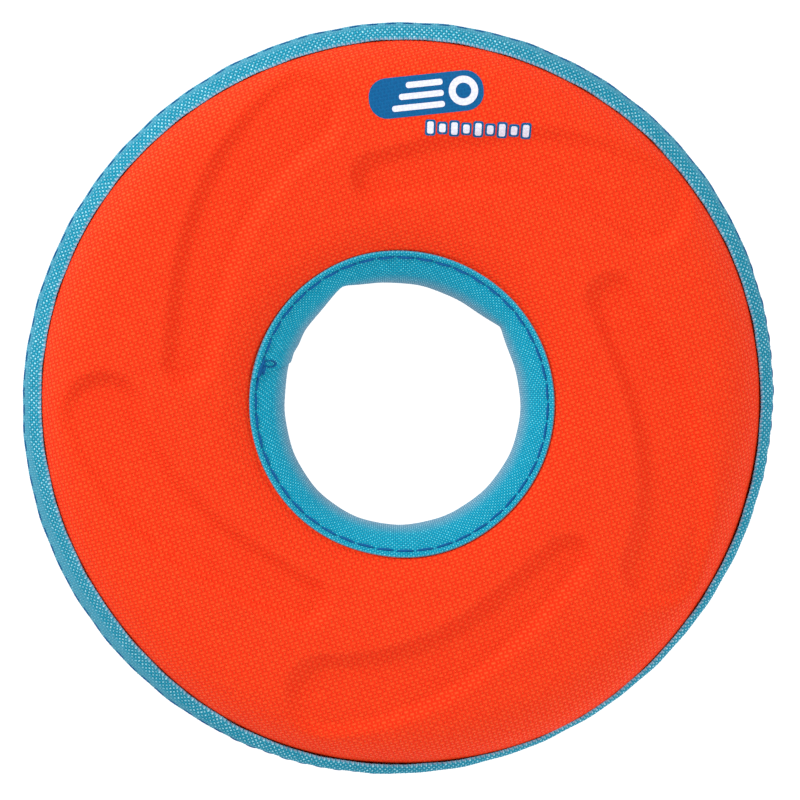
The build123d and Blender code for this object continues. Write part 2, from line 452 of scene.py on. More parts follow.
class Wiring:
    """Adds and joins the nodes of one tree."""

    def __init__(self, tree: bpy.types.NodeTree) -> None:
        """Keeps the tree to work on.

        Args:
            tree: A material's or group's node tree.
        """
        self.tree = tree

    def add(self, kind: str, **settings: object) -> bpy.types.Node:
        """Adds a node and sets its properties."""
        node = self.tree.nodes.new(kind)
        for key, value in settings.items():
            setattr(node, key, value)
        return node

    def feed(self, socket: bpy.types.NodeSocket, value: object) -> None:
        """Links a socket to another, or sets it to a plain value."""
        if isinstance(value, bpy.types.NodeSocket):
            self.tree.links.new(value, socket)
        else:
            socket.default_value = value

    def maths(self, operation: str, first: object, second: object = 0.0, clamp: bool = False):
        """One maths node.

        Args:
            operation: The operation's name.
            first: A socket or number.
            second: A socket or number.
            clamp: Whether the result is kept from 0 to 1.

        Returns:
            The node's output.
        """
        node = self.add("ShaderNodeMath", operation=operation, use_clamp=clamp)
        self.feed(node.inputs[0], first)
        self.feed(node.inputs[1], second)
        return node.outputs[0]

    def times(self, first: object, second: object, clamp: bool = False):
        """Product of two sockets or numbers."""
        return self.maths("MULTIPLY", first, second, clamp)

    def plus(self, first: object, second: object):
        """Sum of two sockets or numbers."""
        return self.maths("ADD", first, second)

    def ridge(self, value: object, rate: float):
        """Round-topped ridges: the size of the sine of a value times a rate."""
        return self.maths("ABSOLUTE", self.maths("SINE", self.times(value, rate)))

    def cloth(self):
        """The piece's own cloth coordinates."""
        return self.add("ShaderNodeUVMap", uv_map="cloth").outputs[0]

    def place(self):
        """Places on the piece, in metres."""
        return self.add("ShaderNodeTexCoord").outputs["Object"]

    def mixed(self, factor: object, first: object, second: object, blend: str = "MIX"):
        """Mixes two colours.

        Args:
            factor: A socket or number.
            first: A socket or colour.
            second: A socket or colour.
            blend: The blend type.

        Returns:
            The mixed colour's socket.
        """
        node = self.add("ShaderNodeMix", data_type="RGBA", blend_type=blend)
        self.feed(node.inputs["Factor"], factor)
        self.feed(node.inputs[6], first)
        self.feed(node.inputs[7], second)
        return node.outputs[2]

    def noise(self, vector: object, scale: float, detail: float = 2.0, colour: bool = False):
        """A noise texture.

        Args:
            vector: The coordinates.
            scale: Its scale.
            detail: Its detail.
            colour: Whether the colour output is wanted.

        Returns:
            The output socket.
        """
        node = self.add("ShaderNodeTexNoise")
        self.feed(node.inputs["Vector"], vector)
        node.inputs["Scale"].default_value = scale
        node.inputs["Detail"].default_value = detail
        return node.outputs["Color" if colour else "Fac"]

    def spread(self, value: object, low: float, high: float, to_low: float, to_high: float):
        """Maps a value from one range to another, clamped."""
        node = self.add("ShaderNodeMapRange", clamp=True)
        for index, part in enumerate((value, low, high, to_low, to_high)):
            self.feed(node.inputs[index], part)
        return node.outputs[0]

    def stretched(self, vector: object, scale: tuple[float, float, float], turn: float = 0.0):
        """Scales and turns coordinates."""
        node = self.add("ShaderNodeMapping")
        self.feed(node.inputs["Vector"], vector)
        node.inputs["Scale"].default_value = scale
        node.inputs["Rotation"].default_value = (0, 0, math.radians(turn))
        return node.outputs[0]

    def bump(self, height: object, depth: float, normal: Optional[object] = None):
        """A bump node.

        Args:
            height: The height socket.
            depth: How deep a height of 1 is, in metres.
            normal: A normal to build on.

        Returns:
            The normal socket.
        """
        node = self.add("ShaderNodeBump")
        node.inputs["Strength"].default_value = 1.0
        node.inputs["Distance"].default_value = depth
        self.feed(node.inputs["Height"], height)
        if normal is not None:
            self.feed(node.inputs["Normal"], normal)
        return node.outputs[0]


def new_group(name: str, inputs: dict[str, object], outputs: dict[str, str]):
    """An empty node group with named sockets.

    Args:
        name: The group's name.
        inputs: Socket names and their starting values; a tuple makes a vector.
        outputs: Socket names and their kinds, such as Float or Color.

    Returns:
        The tree, its wiring, and its input and output nodes.
    """
    tree = bpy.data.node_groups.new(name, "ShaderNodeTree")
    for label, value in inputs.items():
        kind = "NodeSocketVector" if isinstance(value, tuple) else "NodeSocketFloat"
        socket = tree.interface.new_socket(label, in_out="INPUT", socket_type=kind)
        socket.default_value = value
    for label, kind in outputs.items():
        tree.interface.new_socket(label, in_out="OUTPUT", socket_type="NodeSocket" + kind)
    wiring = Wiring(tree)
    return tree, wiring, wiring.add("NodeGroupInput"), wiring.add("NodeGroupOutput")


def weave_group() -> bpy.types.NodeTree:
    """Plain weave: yarns over and under each other, one cell to a crossing.

    Returns:
        The group. Cells counts crossings along U and V, Narrow pinches the floats of the upper
        yarn and Under is how high the others stand. Height is the yarn relief, Over is 1 where
        the upper yarn is on top, Tone is a grey that changes from float to float and Gap is 1 in
        the pinholes between yarns.
    """
    tree, wire, given, result = new_group(
        "plain_weave",
        {"Cells": (0.0, 0.0, 0.0), "Wander": 0.15, "Narrow": 6.0, "Under": 0.72},
        {"Height": "Float", "Over": "Float", "Tone": "Float", "Gap": "Float"},
    )
    wobble = wire.noise(given.outputs["Cells"], 0.23, 1.5, colour=True)
    fine = wire.noise(given.outputs["Cells"], 1.1, 1.0, colour=True)
    both = wire.add("ShaderNodeVectorMath", operation="ADD")
    wire.feed(both.inputs[0], wobble)
    wire.feed(both.inputs[1], fine)
    centred = wire.add("ShaderNodeVectorMath", operation="SUBTRACT")
    wire.feed(centred.inputs[0], both.outputs[0])
    centred.inputs[1].default_value = (1.0, 1.0, 1.0)
    scaled = wire.add("ShaderNodeVectorMath", operation="SCALE")
    wire.feed(scaled.inputs[0], centred.outputs[0])
    wire.feed(scaled.inputs["Scale"], wire.times(given.outputs["Wander"], 2.6))
    moved = wire.add("ShaderNodeVectorMath", operation="ADD")
    wire.feed(moved.inputs[0], given.outputs["Cells"])
    wire.feed(moved.inputs[1], scaled.outputs[0])
    parts = wire.add("ShaderNodeSeparateXYZ")
    wire.feed(parts.inputs[0], moved.outputs[0])
    along, across = parts.outputs[0], parts.outputs[1]
    ridge_u = wire.ridge(along, math.pi)
    ridge_v = wire.ridge(across, math.pi)
    cell_u, cell_v = wire.maths("FLOOR", along), wire.maths("FLOOR", across)
    over = wire.maths("FLOORED_MODULO", wire.plus(cell_u, cell_v), 2.0)
    upper = wire.times(wire.maths("POWER", ridge_u, given.outputs["Narrow"]), ridge_v)
    lower = wire.times(wire.maths("POWER", ridge_u, 0.25), wire.maths("POWER", ridge_v, 0.8))
    lower = wire.times(lower, given.outputs["Under"])
    upper = wire.times(upper, over)
    lower = wire.times(lower, wire.maths("SUBTRACT", 1.0, over))
    height = wire.plus(upper, lower)
    cell = wire.add("ShaderNodeCombineXYZ")
    wire.feed(cell.inputs[0], cell_u)
    wire.feed(cell.inputs[1], cell_v)
    random = wire.add("ShaderNodeTexWhiteNoise", noise_dimensions="2D")
    wire.feed(random.inputs["Vector"], cell.outputs[0])
    gap = wire.maths("SUBTRACT", 1.0, wire.spread(height, 0.12, 0.5, 0.0, 1.0))
    for label, value in (("Height", height), ("Over", over), ("Tone", random.outputs[0])):
        wire.feed(result.inputs[label], value)
    wire.feed(result.inputs["Gap"], gap)
    return tree


def handling_group() -> bpy.types.NodeTree:
    """Soiling and rubbing that a handled toy has: broad blotches and fine specks.

    Returns:
        The group. Blotch is a soft mask of duller areas and Speck one of small light points.
    """
    tree, wire, given, result = new_group(
        "handling_marks",
        {"Place": (0.0, 0.0, 0.0), "Amount": 0.5},
        {"Blotch": "Float", "Speck": "Float"},
    )
    broad = wire.noise(given.outputs["Place"], 42.0, 3.0)
    small = wire.noise(given.outputs["Place"], 1900.0, 1.0)
    blotch = wire.spread(broad, 0.42, 0.7, 0.0, 1.0)
    speck = wire.spread(small, 0.68, 0.8, 0.0, 1.0)
    wire.feed(result.inputs["Blotch"], wire.times(blotch, given.outputs["Amount"]))
    wire.feed(result.inputs["Speck"], wire.times(speck, given.outputs["Amount"]))
    return tree


class Effects:
    """Node groups that several finishes share, each built once."""

    def __init__(self) -> None:
        """Builds the groups."""
        self.weave = weave_group()
        self.handling = handling_group()

    def use(self, wire: Wiring, tree: bpy.types.NodeTree, **inputs: object) -> bpy.types.Node:
        """Places a group in a material.

        Args:
            wire: The material's wiring.
            tree: The group.
            **inputs: Sockets or values for its inputs.

        Returns:
            The group node.
        """
        node = wire.add("ShaderNodeGroup", node_tree=tree)
        for label, value in inputs.items():
            wire.feed(node.inputs[label], value)
        return node


def new_material(name: str, base: tuple[float, float, float]) -> tuple:
    """A node material with an empty Principled shader.

    Args:
        name: The material's name.
        base: Its plain colour for viewport and swatch.

    Returns:
        The material, its wiring and its shader node.
    """
    material = bpy.data.materials.new(name)
    material.use_nodes = True
    material.diffuse_color = (*base, 1)
    wire = Wiring(material.node_tree)
    shader = material.node_tree.nodes["Principled BSDF"]
    return material, wire, shader


@dataclass(frozen=True)
class OxfordFinish:
    """Coarse orange oxford cloth laminated on foam."""

    # deep, middle and light run from the gaps between yarns to the yarn crowns: painted shade in the
    # gaps and painted highlight on the crowns.
    deep: tuple[float, float, float] = (0.79, 0.020, 0.005)
    middle: tuple[float, float, float] = (0.86, 0.048, 0.009)
    light: tuple[float, float, float] = (0.91, 0.106, 0.023)
    relief: float = 0.20 * MM
    wander: float = 0.10

    def make(self, effects: Effects) -> bpy.types.Material:
        """Builds the material.

        Args:
            effects: The shared groups.

        Returns:
            The material.
        """
        material, wire, shader = new_material("orange_oxford", self.middle)
        cloth = wire.cloth()
        place = wire.place()
        weave = effects.use(wire, effects.weave, Cells=cloth, Wander=self.wander)
        marks = effects.use(wire, effects.handling, Place=place, Amount=0.5)
        yarn = wire.noise(wire.stretched(cloth, (6.0, 1.3, 1.0)), 1.0, 2.0)
        cross = wire.noise(wire.stretched(cloth, (1.3, 6.0, 1.0)), 1.0, 2.0)
        # Mostly the yarn height, so the crowns take the painted highlight colour and the gaps the
        # painted shade colour; the rest is random tone from yarn to yarn.
        level = wire.times(weave.outputs["Height"], 0.85)
        level = wire.plus(level, wire.times(weave.outputs["Tone"], 0.14))
        level = wire.plus(level, wire.times(yarn, 0.10))
        level = wire.plus(level, wire.times(cross, 0.10))
        level = wire.maths("SUBTRACT", level, 0.12, clamp=True)
        low = wire.mixed(wire.spread(level, 0.0, 0.5, 0.0, 1.0), (*self.deep, 1), (*self.middle, 1))
        colour = wire.mixed(wire.spread(level, 0.5, 1.0, 0.0, 1.0), low, (*self.light, 1))
        dull = wire.mixed(1.0, colour, (0.97, 0.93, 0.95, 1), "MULTIPLY")
        colour = wire.mixed(marks.outputs["Blotch"], colour, dull)
        wire.feed(shader.inputs["Base Color"], colour)
        rough = wire.spread(weave.outputs["Height"], 0.0, 1.0, 0.85, 0.36)
        wire.feed(shader.inputs["Roughness"], rough)
        fibres = wire.plus(wire.times(yarn, 0.18), weave.outputs["Height"])
        wire.feed(shader.inputs["Normal"], wire.bump(fibres, self.relief))
        shader.inputs["Specular IOR Level"].default_value = 0.38
        shader.inputs["Specular Tint"].default_value = (1.0, 0.5, 0.2, 1)
        return material


@dataclass(frozen=True)
class TapeFinish:
    """Light-blue woven tape or strip, with paler floats over darker gaps."""

    name: str
    # gap is the painted shade of the pinholes between yarns and spot the painted highlight on the float
    # crowns.
    gap: tuple[float, float, float]
    base: tuple[float, float, float]
    spot: tuple[float, float, float]
    # edge is the colour of the selvedge loops: real loops, their pale lavender partly painted bounce
    # light.
    edge: tuple[float, float, float]
    # plain and pale are the tones of a painted grazing sheen: the band over the tape's fold and the
    # strip's bulge turns greyer and its spots fade.
    plain: tuple[float, float, float]
    width_cells: float
    relief: float = 0.14 * MM
    wander: float = 0.12
    narrow: float = 1.2
    under: float = 0.7
    spot_low: float = 0.3
    patch: float = 0.35
    plain_from: float = 99.0
    plain_fade: float = 1.4
    plain_life: float = 0.22
    pale: tuple[float, float, float] = (0.42, 0.80, 0.92)
    edge_cells: float = 0.38
    sheen: float = 0.05

    def make(self, effects: Effects) -> bpy.types.Material:
        """Builds the material.

        Args:
            effects: The shared groups.

        Returns:
            The material.
        """
        material, wire, shader = new_material(self.name, self.base)
        cloth = wire.cloth()
        place = wire.place()
        weave = effects.use(
            wire,
            effects.weave,
            Cells=cloth,
            Wander=self.wander,
            Narrow=self.narrow,
            Under=self.under,
        )
        marks = effects.use(wire, effects.handling, Place=place, Amount=0.5)
        yarn = wire.noise(wire.stretched(cloth, (1.2, 7.0, 1.0)), 1.0, 2.0)
        across = wire.add("ShaderNodeSeparateXYZ")
        wire.feed(across.inputs[0], cloth)
        inside = wire.maths("SUBTRACT", self.width_cells, across.outputs[1])
        inside = wire.maths("MINIMUM", inside, across.outputs[1])
        # Pale loops along the free edges: real selvedge loops, their pale colour partly painted bounce
        # light.
        selvedge = wire.spread(inside, 0.3 * self.edge_cells, self.edge_cells, 1.0, 0.0)
        # Painted grazing sheen: from plain_from cells in from the nearer edge, the colour turns to the
        # greyer plain and pale tones and the spots fade.
        plain_to = self.plain_from + self.plain_fade
        lively = wire.spread(inside, self.plain_from, plain_to, 1.0, self.plain_life)
        loops = wire.ridge(across.outputs[0], math.pi / 2)
        selvedge = wire.times(selvedge, wire.spread(loops, 0.2, 0.9, 0.15, 1.0))
        # Paler spots on the float crowns: painted highlight.
        spots = wire.spread(weave.outputs["Height"], self.spot_low, 0.95, 0.0, 1.0)
        spots = wire.times(spots, weave.outputs["Over"])
        spots = wire.times(spots, wire.spread(weave.outputs["Tone"], 0, 1, 0.35, 1.0))
        sheen_free = wire.spread(inside, self.plain_from, plain_to, 1.0, 0.0)
        spots = wire.times(spots, lively)
        # Darker pinholes between the yarns: painted shade.
        holes = wire.times(weave.outputs["Gap"], lively)
        wear_and_sheen = wire.mixed(sheen_free, (*self.plain, 1), (*self.base, 1))
        bright = wire.mixed(sheen_free, (*self.pale, 1), (*self.spot, 1))
        colour = wire.mixed(holes, wear_and_sheen, (*self.gap, 1))
        colour = wire.mixed(wire.spread(yarn, 0.3, 0.75, 0.0, self.patch), colour, (*self.gap, 1))
        colour = wire.mixed(spots, colour, bright)
        colour = wire.mixed(selvedge, colour, (*self.edge, 1))
        dull = wire.mixed(1.0, colour, (0.86, 0.86, 0.88, 1), "MULTIPLY")
        colour = wire.mixed(marks.outputs["Blotch"], colour, dull)
        wire.feed(shader.inputs["Base Color"], colour)
        rough = wire.spread(weave.outputs["Height"], 0.0, 1.0, 0.9, 0.6)
        wire.feed(shader.inputs["Roughness"], rough)
        fibres = wire.plus(wire.times(yarn, 0.2), weave.outputs["Height"])
        wire.feed(shader.inputs["Normal"], wire.bump(fibres, self.relief))
        shader.inputs["Specular IOR Level"].default_value = 0.1
        shader.inputs["Sheen Weight"].default_value = self.sheen
        shader.inputs["Sheen Roughness"].default_value = 0.4
        shader.inputs["Sheen Tint"].default_value = (1.0, 0.8, 0.85, 1)
        return material


@dataclass(frozen=True)
class ThreadFinish:
    """Twisted dark-blue sewing thread."""

    # dark in the grooves between plies and light on their crowns: painted shade and painted highlight.
    dark: tuple[float, float, float] = (0.0, 0.065, 0.21)
    light: tuple[float, float, float] = (0.0, 0.14, 0.40)
    ply: float = 2.6

    def make(self, effects: Effects) -> bpy.types.Material:
        """Builds the material.

        Args:
            effects: The shared groups.

        Returns:
            The material.
        """
        material, wire, shader = new_material("blue_thread", self.light)
        cloth = wire.cloth()
        place = wire.place()
        marks = effects.use(wire, effects.handling, Place=place, Amount=0.6)
        parts = wire.add("ShaderNodeSeparateXYZ")
        wire.feed(parts.inputs[0], cloth)
        slant = wire.plus(wire.times(parts.outputs[0], self.ply), parts.outputs[1])
        strand = wire.ridge(slant, math.pi)
        fuzz = wire.noise(wire.stretched(cloth, (9.0, 9.0, 1.0)), 1.0, 2.0)
        # Lighter on each ply's crown and darker in the grooves: painted highlight and painted shade.
        level = wire.times(strand, wire.spread(fuzz, 0.2, 0.8, 0.7, 1.1), clamp=True)
        colour = wire.mixed(level, (*self.dark, 1), (*self.light, 1))
        colour = wire.mixed(marks.outputs["Speck"], colour, (0.02, 0.25, 0.6, 1))
        wire.feed(shader.inputs["Base Color"], colour)
        wire.feed(shader.inputs["Roughness"], wire.spread(strand, 0.0, 1.0, 0.75, 0.5))
        wire.feed(shader.inputs["Normal"], wire.bump(strand, 0.07 * MM))
        shader.inputs["Specular IOR Level"].default_value = 0.2
        return material


@dataclass(frozen=True)
class InkFinish:
    """Flexible transfer print that lets the weave show through."""

    name: str
    base: tuple[float, float, float]
    wear_and_sheen: tuple[float, float, float]

    def make(self, effects: Effects) -> bpy.types.Material:
        """Builds the material.

        Args:
            effects: The shared groups.

        Returns:
            The material.
        """
        material, wire, shader = new_material(self.name, self.base)
        place = wire.place()
        turned = wire.stretched(place, (1 / COVER_PITCH[0], 1 / COVER_PITCH[1], 1.0), -WEAVE_TURN)
        weave = effects.use(wire, effects.weave, Cells=turned, Wander=0.16)
        marks = effects.use(wire, effects.handling, Place=place, Amount=0.8)
        level = wire.times(weave.outputs["Gap"], 0.45)
        level = wire.plus(level, wire.times(marks.outputs["Speck"], 0.5))
        level = wire.plus(level, wire.times(weave.outputs["Tone"], 0.15))
        colour = wire.mixed(wire.times(level, 1.0, clamp=True), (*self.base, 1), (*self.wear_and_sheen, 1))
        wire.feed(shader.inputs["Base Color"], colour)
        wire.feed(shader.inputs["Roughness"], wire.spread(weave.outputs["Height"], 0, 1, 0.7, 0.5))
        wire.feed(shader.inputs["Normal"], wire.bump(weave.outputs["Height"], 0.08 * MM))
        shader.inputs["Specular IOR Level"].default_value = 0.15
        return material


@dataclass(frozen=True)
class FoamFinish:
    """Closed-cell foam with a fine cell structure."""

    base: tuple[float, float, float] = (0.80, 0.79, 0.77)
    cell: tuple[float, float, float] = (0.66, 0.65, 0.63)

    def make(self, effects: Effects) -> bpy.types.Material:
        """Builds the material.

        Args:
            effects: The shared groups.

        Returns:
            The material.
        """
        material, wire, shader = new_material("closed_cell_foam", self.base)
        place = wire.place()
        cells = wire.add("ShaderNodeTexVoronoi")
        wire.feed(cells.inputs["Vector"], place)
        cells.inputs["Scale"].default_value = 1500.0
        wall = wire.spread(cells.outputs["Distance"], 0.2, 0.7, 0.0, 1.0)
        marks = effects.use(wire, effects.handling, Place=place, Amount=0.3)
        colour = wire.mixed(wall, (*self.base, 1), (*self.cell, 1))
        colour = wire.mixed(marks.outputs["Blotch"], colour, (*self.cell, 1))
        wire.feed(shader.inputs["Base Color"], colour)
        wire.feed(shader.inputs["Roughness"], wire.spread(wall, 0.0, 1.0, 0.75, 0.95))
        wire.feed(shader.inputs["Normal"], wire.bump(wall, 0.1 * MM))
        return material


class Wardrobe:
    """Every finish of the ring, made once."""

    def __init__(self) -> None:
        """Makes the shared effects and the materials."""
        effects = Effects()
        self.cover = OxfordFinish().make(effects)
        self.tape = TapeFinish(
            "rim_tape",
            gap=(0.0, 0.16, 0.26),
            base=(0.01, 0.30, 0.44),
            spot=(0.40, 0.80, 0.92),
            spot_low=0.15,
            narrow=0.8,
            edge=(0.32, 0.42, 0.56),
            # The greyer plain tone is the painted grazing sheen over the tape's fold.
            plain=(0.07, 0.33, 0.46),
            width_cells=RimBinding.width / RimBinding.row_pitch,
            plain_from=3.9,
            wander=0.25,
        ).make(effects)
        self.strip = TapeFinish(
            "hole_strip",
            gap=(0.0, 0.19, 0.33),
            base=(0.0, 0.38, 0.555),
            spot=(0.17, 0.84, 0.98),
            edge=(0.10, 0.36, 0.50),
            # The greyer plain and pale tones are the painted grazing sheen over the bulge at the hole's
            # edge.
            plain=(0.20, 0.38, 0.50),
            plain_from=13.0,
            plain_fade=8.0,
            plain_life=0.85,
            pale=(0.55, 0.80, 0.88),
            width_cells=57.0,
            relief=0.13 * MM,
            patch=0.25,
            spot_low=0.2,
            edge_cells=0.7,
            sheen=0.10,
        ).make(effects)
        self.thread = ThreadFinish().make(effects)
        blue = InkFinish("blue_print", (0.0, 0.085, 0.245), (0.0, 0.12, 0.31))
        white = InkFinish("white_print", (0.76, 0.76, 0.86), (0.62, 0.64, 0.78))
        self.blue_ink = blue.make(effects)
        self.white_ink = white.make(effects)
        self.foam = FoamFinish().make(effects)


# ---------------------------------------------------------------- covers and foam


@dataclass
class FabricCovers:
    """The two laminated covers, blown out a little between the seams and pressed at the swirls."""

    shape: RingShape
    swirls: Swirls
    columns: int = 720
    rows: int = 84
    back_rows: int = 16
    thickness: float = 0.45 * MM
    crease: float = 1.05 * MM
    cell_along: float = COVER_PITCH[0]
    cell_across: float = COVER_PITCH[1]
    weave_turn: float = WEAVE_TURN
    crown: float = 0.7 * MM
    sim_columns: int = 240
    sim_rows: int = 26
    puff: Optional[np.ndarray] = field(default=None, repr=False)

    def radii(self, angle: np.ndarray, rows: int, close: bool) -> np.ndarray:
        """Distances from the axis of the cover's rows, closer together along both bindings.

        Args:
            angle: Column angles.
            rows: How many rows lie between the bindings.
            close: Whether the rows crowd at the bindings' edges.

        Returns:
            Radii, columns by rows.
        """
        shape = self.shape
        tape = shape.rim - round_table(angle, RimBinding.showing) * MM
        strip = np.full_like(angle, shape.strip_edge)
        under = np.linspace(0, 1, 4)[:, None] * (strip - 0.3 * MM - shape.cover_edge)
        columns = [shape.cover_edge + under]
        if close:
            columns.append(strip + np.array([-0.15, 0.0, 0.1, 0.22, 0.4, 0.65])[:, None] * MM)
        start, end = strip + 0.9 * MM, tape - 0.95 * MM
        columns.append(start + np.linspace(0, 1, rows)[:, None] * (end - start))
        if close:
            near = np.array([-0.8, -0.56, -0.4, -0.28, -0.16, -0.02, 0.16])[:, None] * MM
            columns.append(tape + near)
        first = tape + 0.4 * MM
        columns.append(first + np.linspace(0, 1, 5)[:, None] * (shape.foot - first))
        ledge = np.linspace(0.5, 1, 2)[:, None] * (shape.cover_rim - shape.foot)
        columns.append(shape.foot + ledge + 0 * angle)
        return np.concatenate(columns).T

    def section(self, rows: int) -> np.ndarray:
        """Evenly spaced points of the cover's face in the section plane, hole to foot."""
        fine = np.linspace(self.shape.cover_edge, self.shape.foot, 600)
        line = np.stack([fine, self.shape.height(fine)], axis=1)
        run = lengths(line)
        even = np.linspace(0, run[-1], rows)
        return np.stack([np.interp(even, run, line[:, 0]), np.interp(even, run, line[:, 1])], 1)

    def simulated(self) -> np.ndarray:
        """Blows the upper cover out as cloth held at its seams.

        Returns:
            The pattern of the rise over the coarse grid, columns by rows, with its height scaled
            to the crown.
        """
        columns, rows = self.sim_columns, self.sim_rows
        line = self.section(rows)
        angle = angles_round(columns)
        points = np.empty((columns, rows, 3))
        points[..., 0] = np.cos(angle)[:, None] * line[:, 0]
        points[..., 1] = np.sin(angle)[:, None] * line[:, 0]
        points[..., 2] = line[:, 1]
        c, r = np.meshgrid(np.arange(columns), np.arange(rows - 1), indexing="ij")
        n = (c + 1) % columns
        quads = np.stack([c * rows + r, c * rows + r + 1, n * rows + r + 1, n * rows + r], -1)
        mesh = bpy.data.meshes.new("cover_blank")
        mesh.from_pydata(points.reshape(-1, 3), [], quads.reshape(-1, 4))
        blank = bpy.data.objects.new("cover_blank", mesh)
        scene = bpy.context.scene
        scene.collection.objects.link(blank)
        held = blank.vertex_groups.new(name="sewn")
        sewn = [k for k in range(columns * rows) if k % rows < 2 or k % rows > rows - 3]
        held.add(sewn, 1.0, "REPLACE")
        only(blank)
        cloth = blank.modifiers.new("cloth", "CLOTH")
        settings = cloth.settings
        settings.quality = 6
        settings.mass = 0.35
        settings.tension_stiffness = settings.compression_stiffness = 40
        settings.bending_stiffness = 12
        settings.vertex_group_mass = held.name
        settings.use_pressure = True
        settings.uniform_pressure_force = 4
        settings.effector_weights.gravity = 0
        cloth.point_cache.frame_start, cloth.point_cache.frame_end = 1, 20
        for frame in range(1, 21):
            scene.frame_set(frame)
        bpy.ops.object.modifier_apply(modifier=cloth.name)
        scene.frame_set(1)
        flat = np.empty(columns * rows * 3)
        blank.data.vertices.foreach_get("co", flat)
        rise = flat.reshape(columns, rows, 3)[..., 2] - points[..., 2]
        discard(blank)
        rise = np.maximum(rise, 0)
        LOG.info("cloth rose %.2f mm at most", rise.max() / MM)
        return self.crown * np.tanh(rise / max(float(np.percentile(rise, 90)), 1e-6))

    def risen(self, angle: np.ndarray, radius: np.ndarray) -> np.ndarray:
        """How far the blown cover stands over the moulded face."""
        line = self.section(self.sim_rows)
        row = np.interp(radius, line[:, 0], np.arange(self.sim_rows))
        if self.puff is None:
            return self.crown * np.sin(np.pi * row / (self.sim_rows - 1)) ** 0.7
        column = (angle % TURN) / TURN * self.sim_columns
        c0 = np.floor(column).astype(int)
        r0 = np.clip(np.floor(row).astype(int), 0, self.sim_rows - 2)
        fc, fr = column - c0, row - r0
        c0, c1 = c0 % self.sim_columns, (c0 + 1) % self.sim_columns
        low = self.puff[c0, r0] * (1 - fr) + self.puff[c0, r0 + 1] * fr
        high = self.puff[c1, r0] * (1 - fr) + self.puff[c1, r0 + 1] * fr
        return low * (1 - fc) + high * fc

    def lifted(self, plan: np.ndarray) -> np.ndarray:
        """Net height the cloth adds to the plain face, pressed swirls counted down."""
        radius, angle = np.hypot(plan[:, 0], plan[:, 1]), np.arctan2(plan[:, 1], plan[:, 0])
        rise = self.risen(angle, radius)
        pressed = self.swirls.pressed(plan)
        return rise * (1 - 0.5 * pressed / self.swirls.depth) - pressed

    def grid(self, radius: np.ndarray, inset: float, angle: np.ndarray) -> np.ndarray:
        """Points of one face of the cloth, creased where the bindings pull it down.

        Args:
            radius: Distances from the axis, columns by rows.
            inset: How far the face lies in from the outer one.
            angle: Column angles.

        Returns:
            Columns by rows by 3.
        """
        shape = self.shape
        line = self.section(500)
        normal = normals_of(line)
        across = np.interp(radius, line[:, 0], normal[:, 0], right=0.0)
        up = np.interp(radius, line[:, 0], normal[:, 1], right=1.0)
        sign = math.copysign(1.0, float(normal[250, 1]))
        turn = angle[:, None]
        plan = np.stack([np.cos(turn) * radius, np.sin(turn) * radius], axis=-1)
        lift = self.lifted(plan.reshape(-1, 2)).reshape(radius.shape)
        lift *= eased((shape.foot - radius) / (1.5 * MM))
        showing = round_table(angle, RimBinding.showing)[:, None]
        pinch = self.crease * np.clip((showing - 0.9) / 2.2, 0.1, 1.0)
        creases = (
            (shape.rim - showing * MM - 0.2 * MM, pinch),
            (shape.strip_edge, 0.35 * self.crease),
        )
        for edge, depth in creases:
            lift -= depth * np.exp(-(((radius - edge) / (0.38 * MM)) ** 2))
        height = np.where(radius > shape.foot, shape.cover, shape.height(radius))
        roll = np.clip(shape.rim - showing * MM - shape.foot + 0.1 * MM, 0, 1.3 * MM)
        roll = roll * eased((radius - shape.foot) / (6 * MM) + 1)
        roll = roll * np.clip((shape.cover_rim - radius) / shape.allowance, 0, 1)
        inner = radius + roll - inset * sign * across
        points = np.stack([np.cos(turn) * inner, np.sin(turn) * inner, height + lift], axis=-1)
        points[..., 2] -= inset * sign * up
        return points

    def build(self, wardrobe: Wardrobe) -> tuple[bpy.types.Object, bpy.types.Object]:
        """Makes both covers.

        Args:
            wardrobe: The finishes.

        Returns:
            The top and bottom cover.
        """
        self.puff = self.simulated()
        angle = angles_round(self.columns)
        front = self.radii(angle, self.rows, True)
        back = self.radii(angle, self.back_rows, False)[:, ::-1]
        outer = self.grid(front, 0.0, angle)
        inner = self.grid(back, self.thickness, angle)
        points = np.concatenate([outer, inner], axis=1)
        line = self.section(600)
        middle = (self.shape.flat_inner + self.shape.flat_outer) / 2
        reach = lengths(line) - np.interp(middle, line[:, 0], lengths(line)) + middle
        radius = np.concatenate([front, back, front[:, :1]], axis=1)
        radius = np.vstack([radius, radius[:1]])
        turns = np.append(angle, TURN)[:, None] - math.radians(self.weave_turn)
        unrolled = np.interp(radius, line[:, 0], reach) * np.exp(1j * turns)
        uv = np.stack([unrolled.real / self.cell_along, unrolled.imag / self.cell_across], axis=-1)
        floor = self.shape.half_height
        resting = np.concatenate(
            [flattened(outer, floor), flattened(inner, floor - self.thickness)], axis=1
        )
        made = []
        for side, grid in (("top", points), ("bottom", turned_over(resting))):
            cover = ring_mesh(f"cover_{side}", self.shape.settled(grid), uv)
            dressed(cover, wardrobe.cover, f"{side}_cover")
            made.append(cover)
        return made[0], made[1]


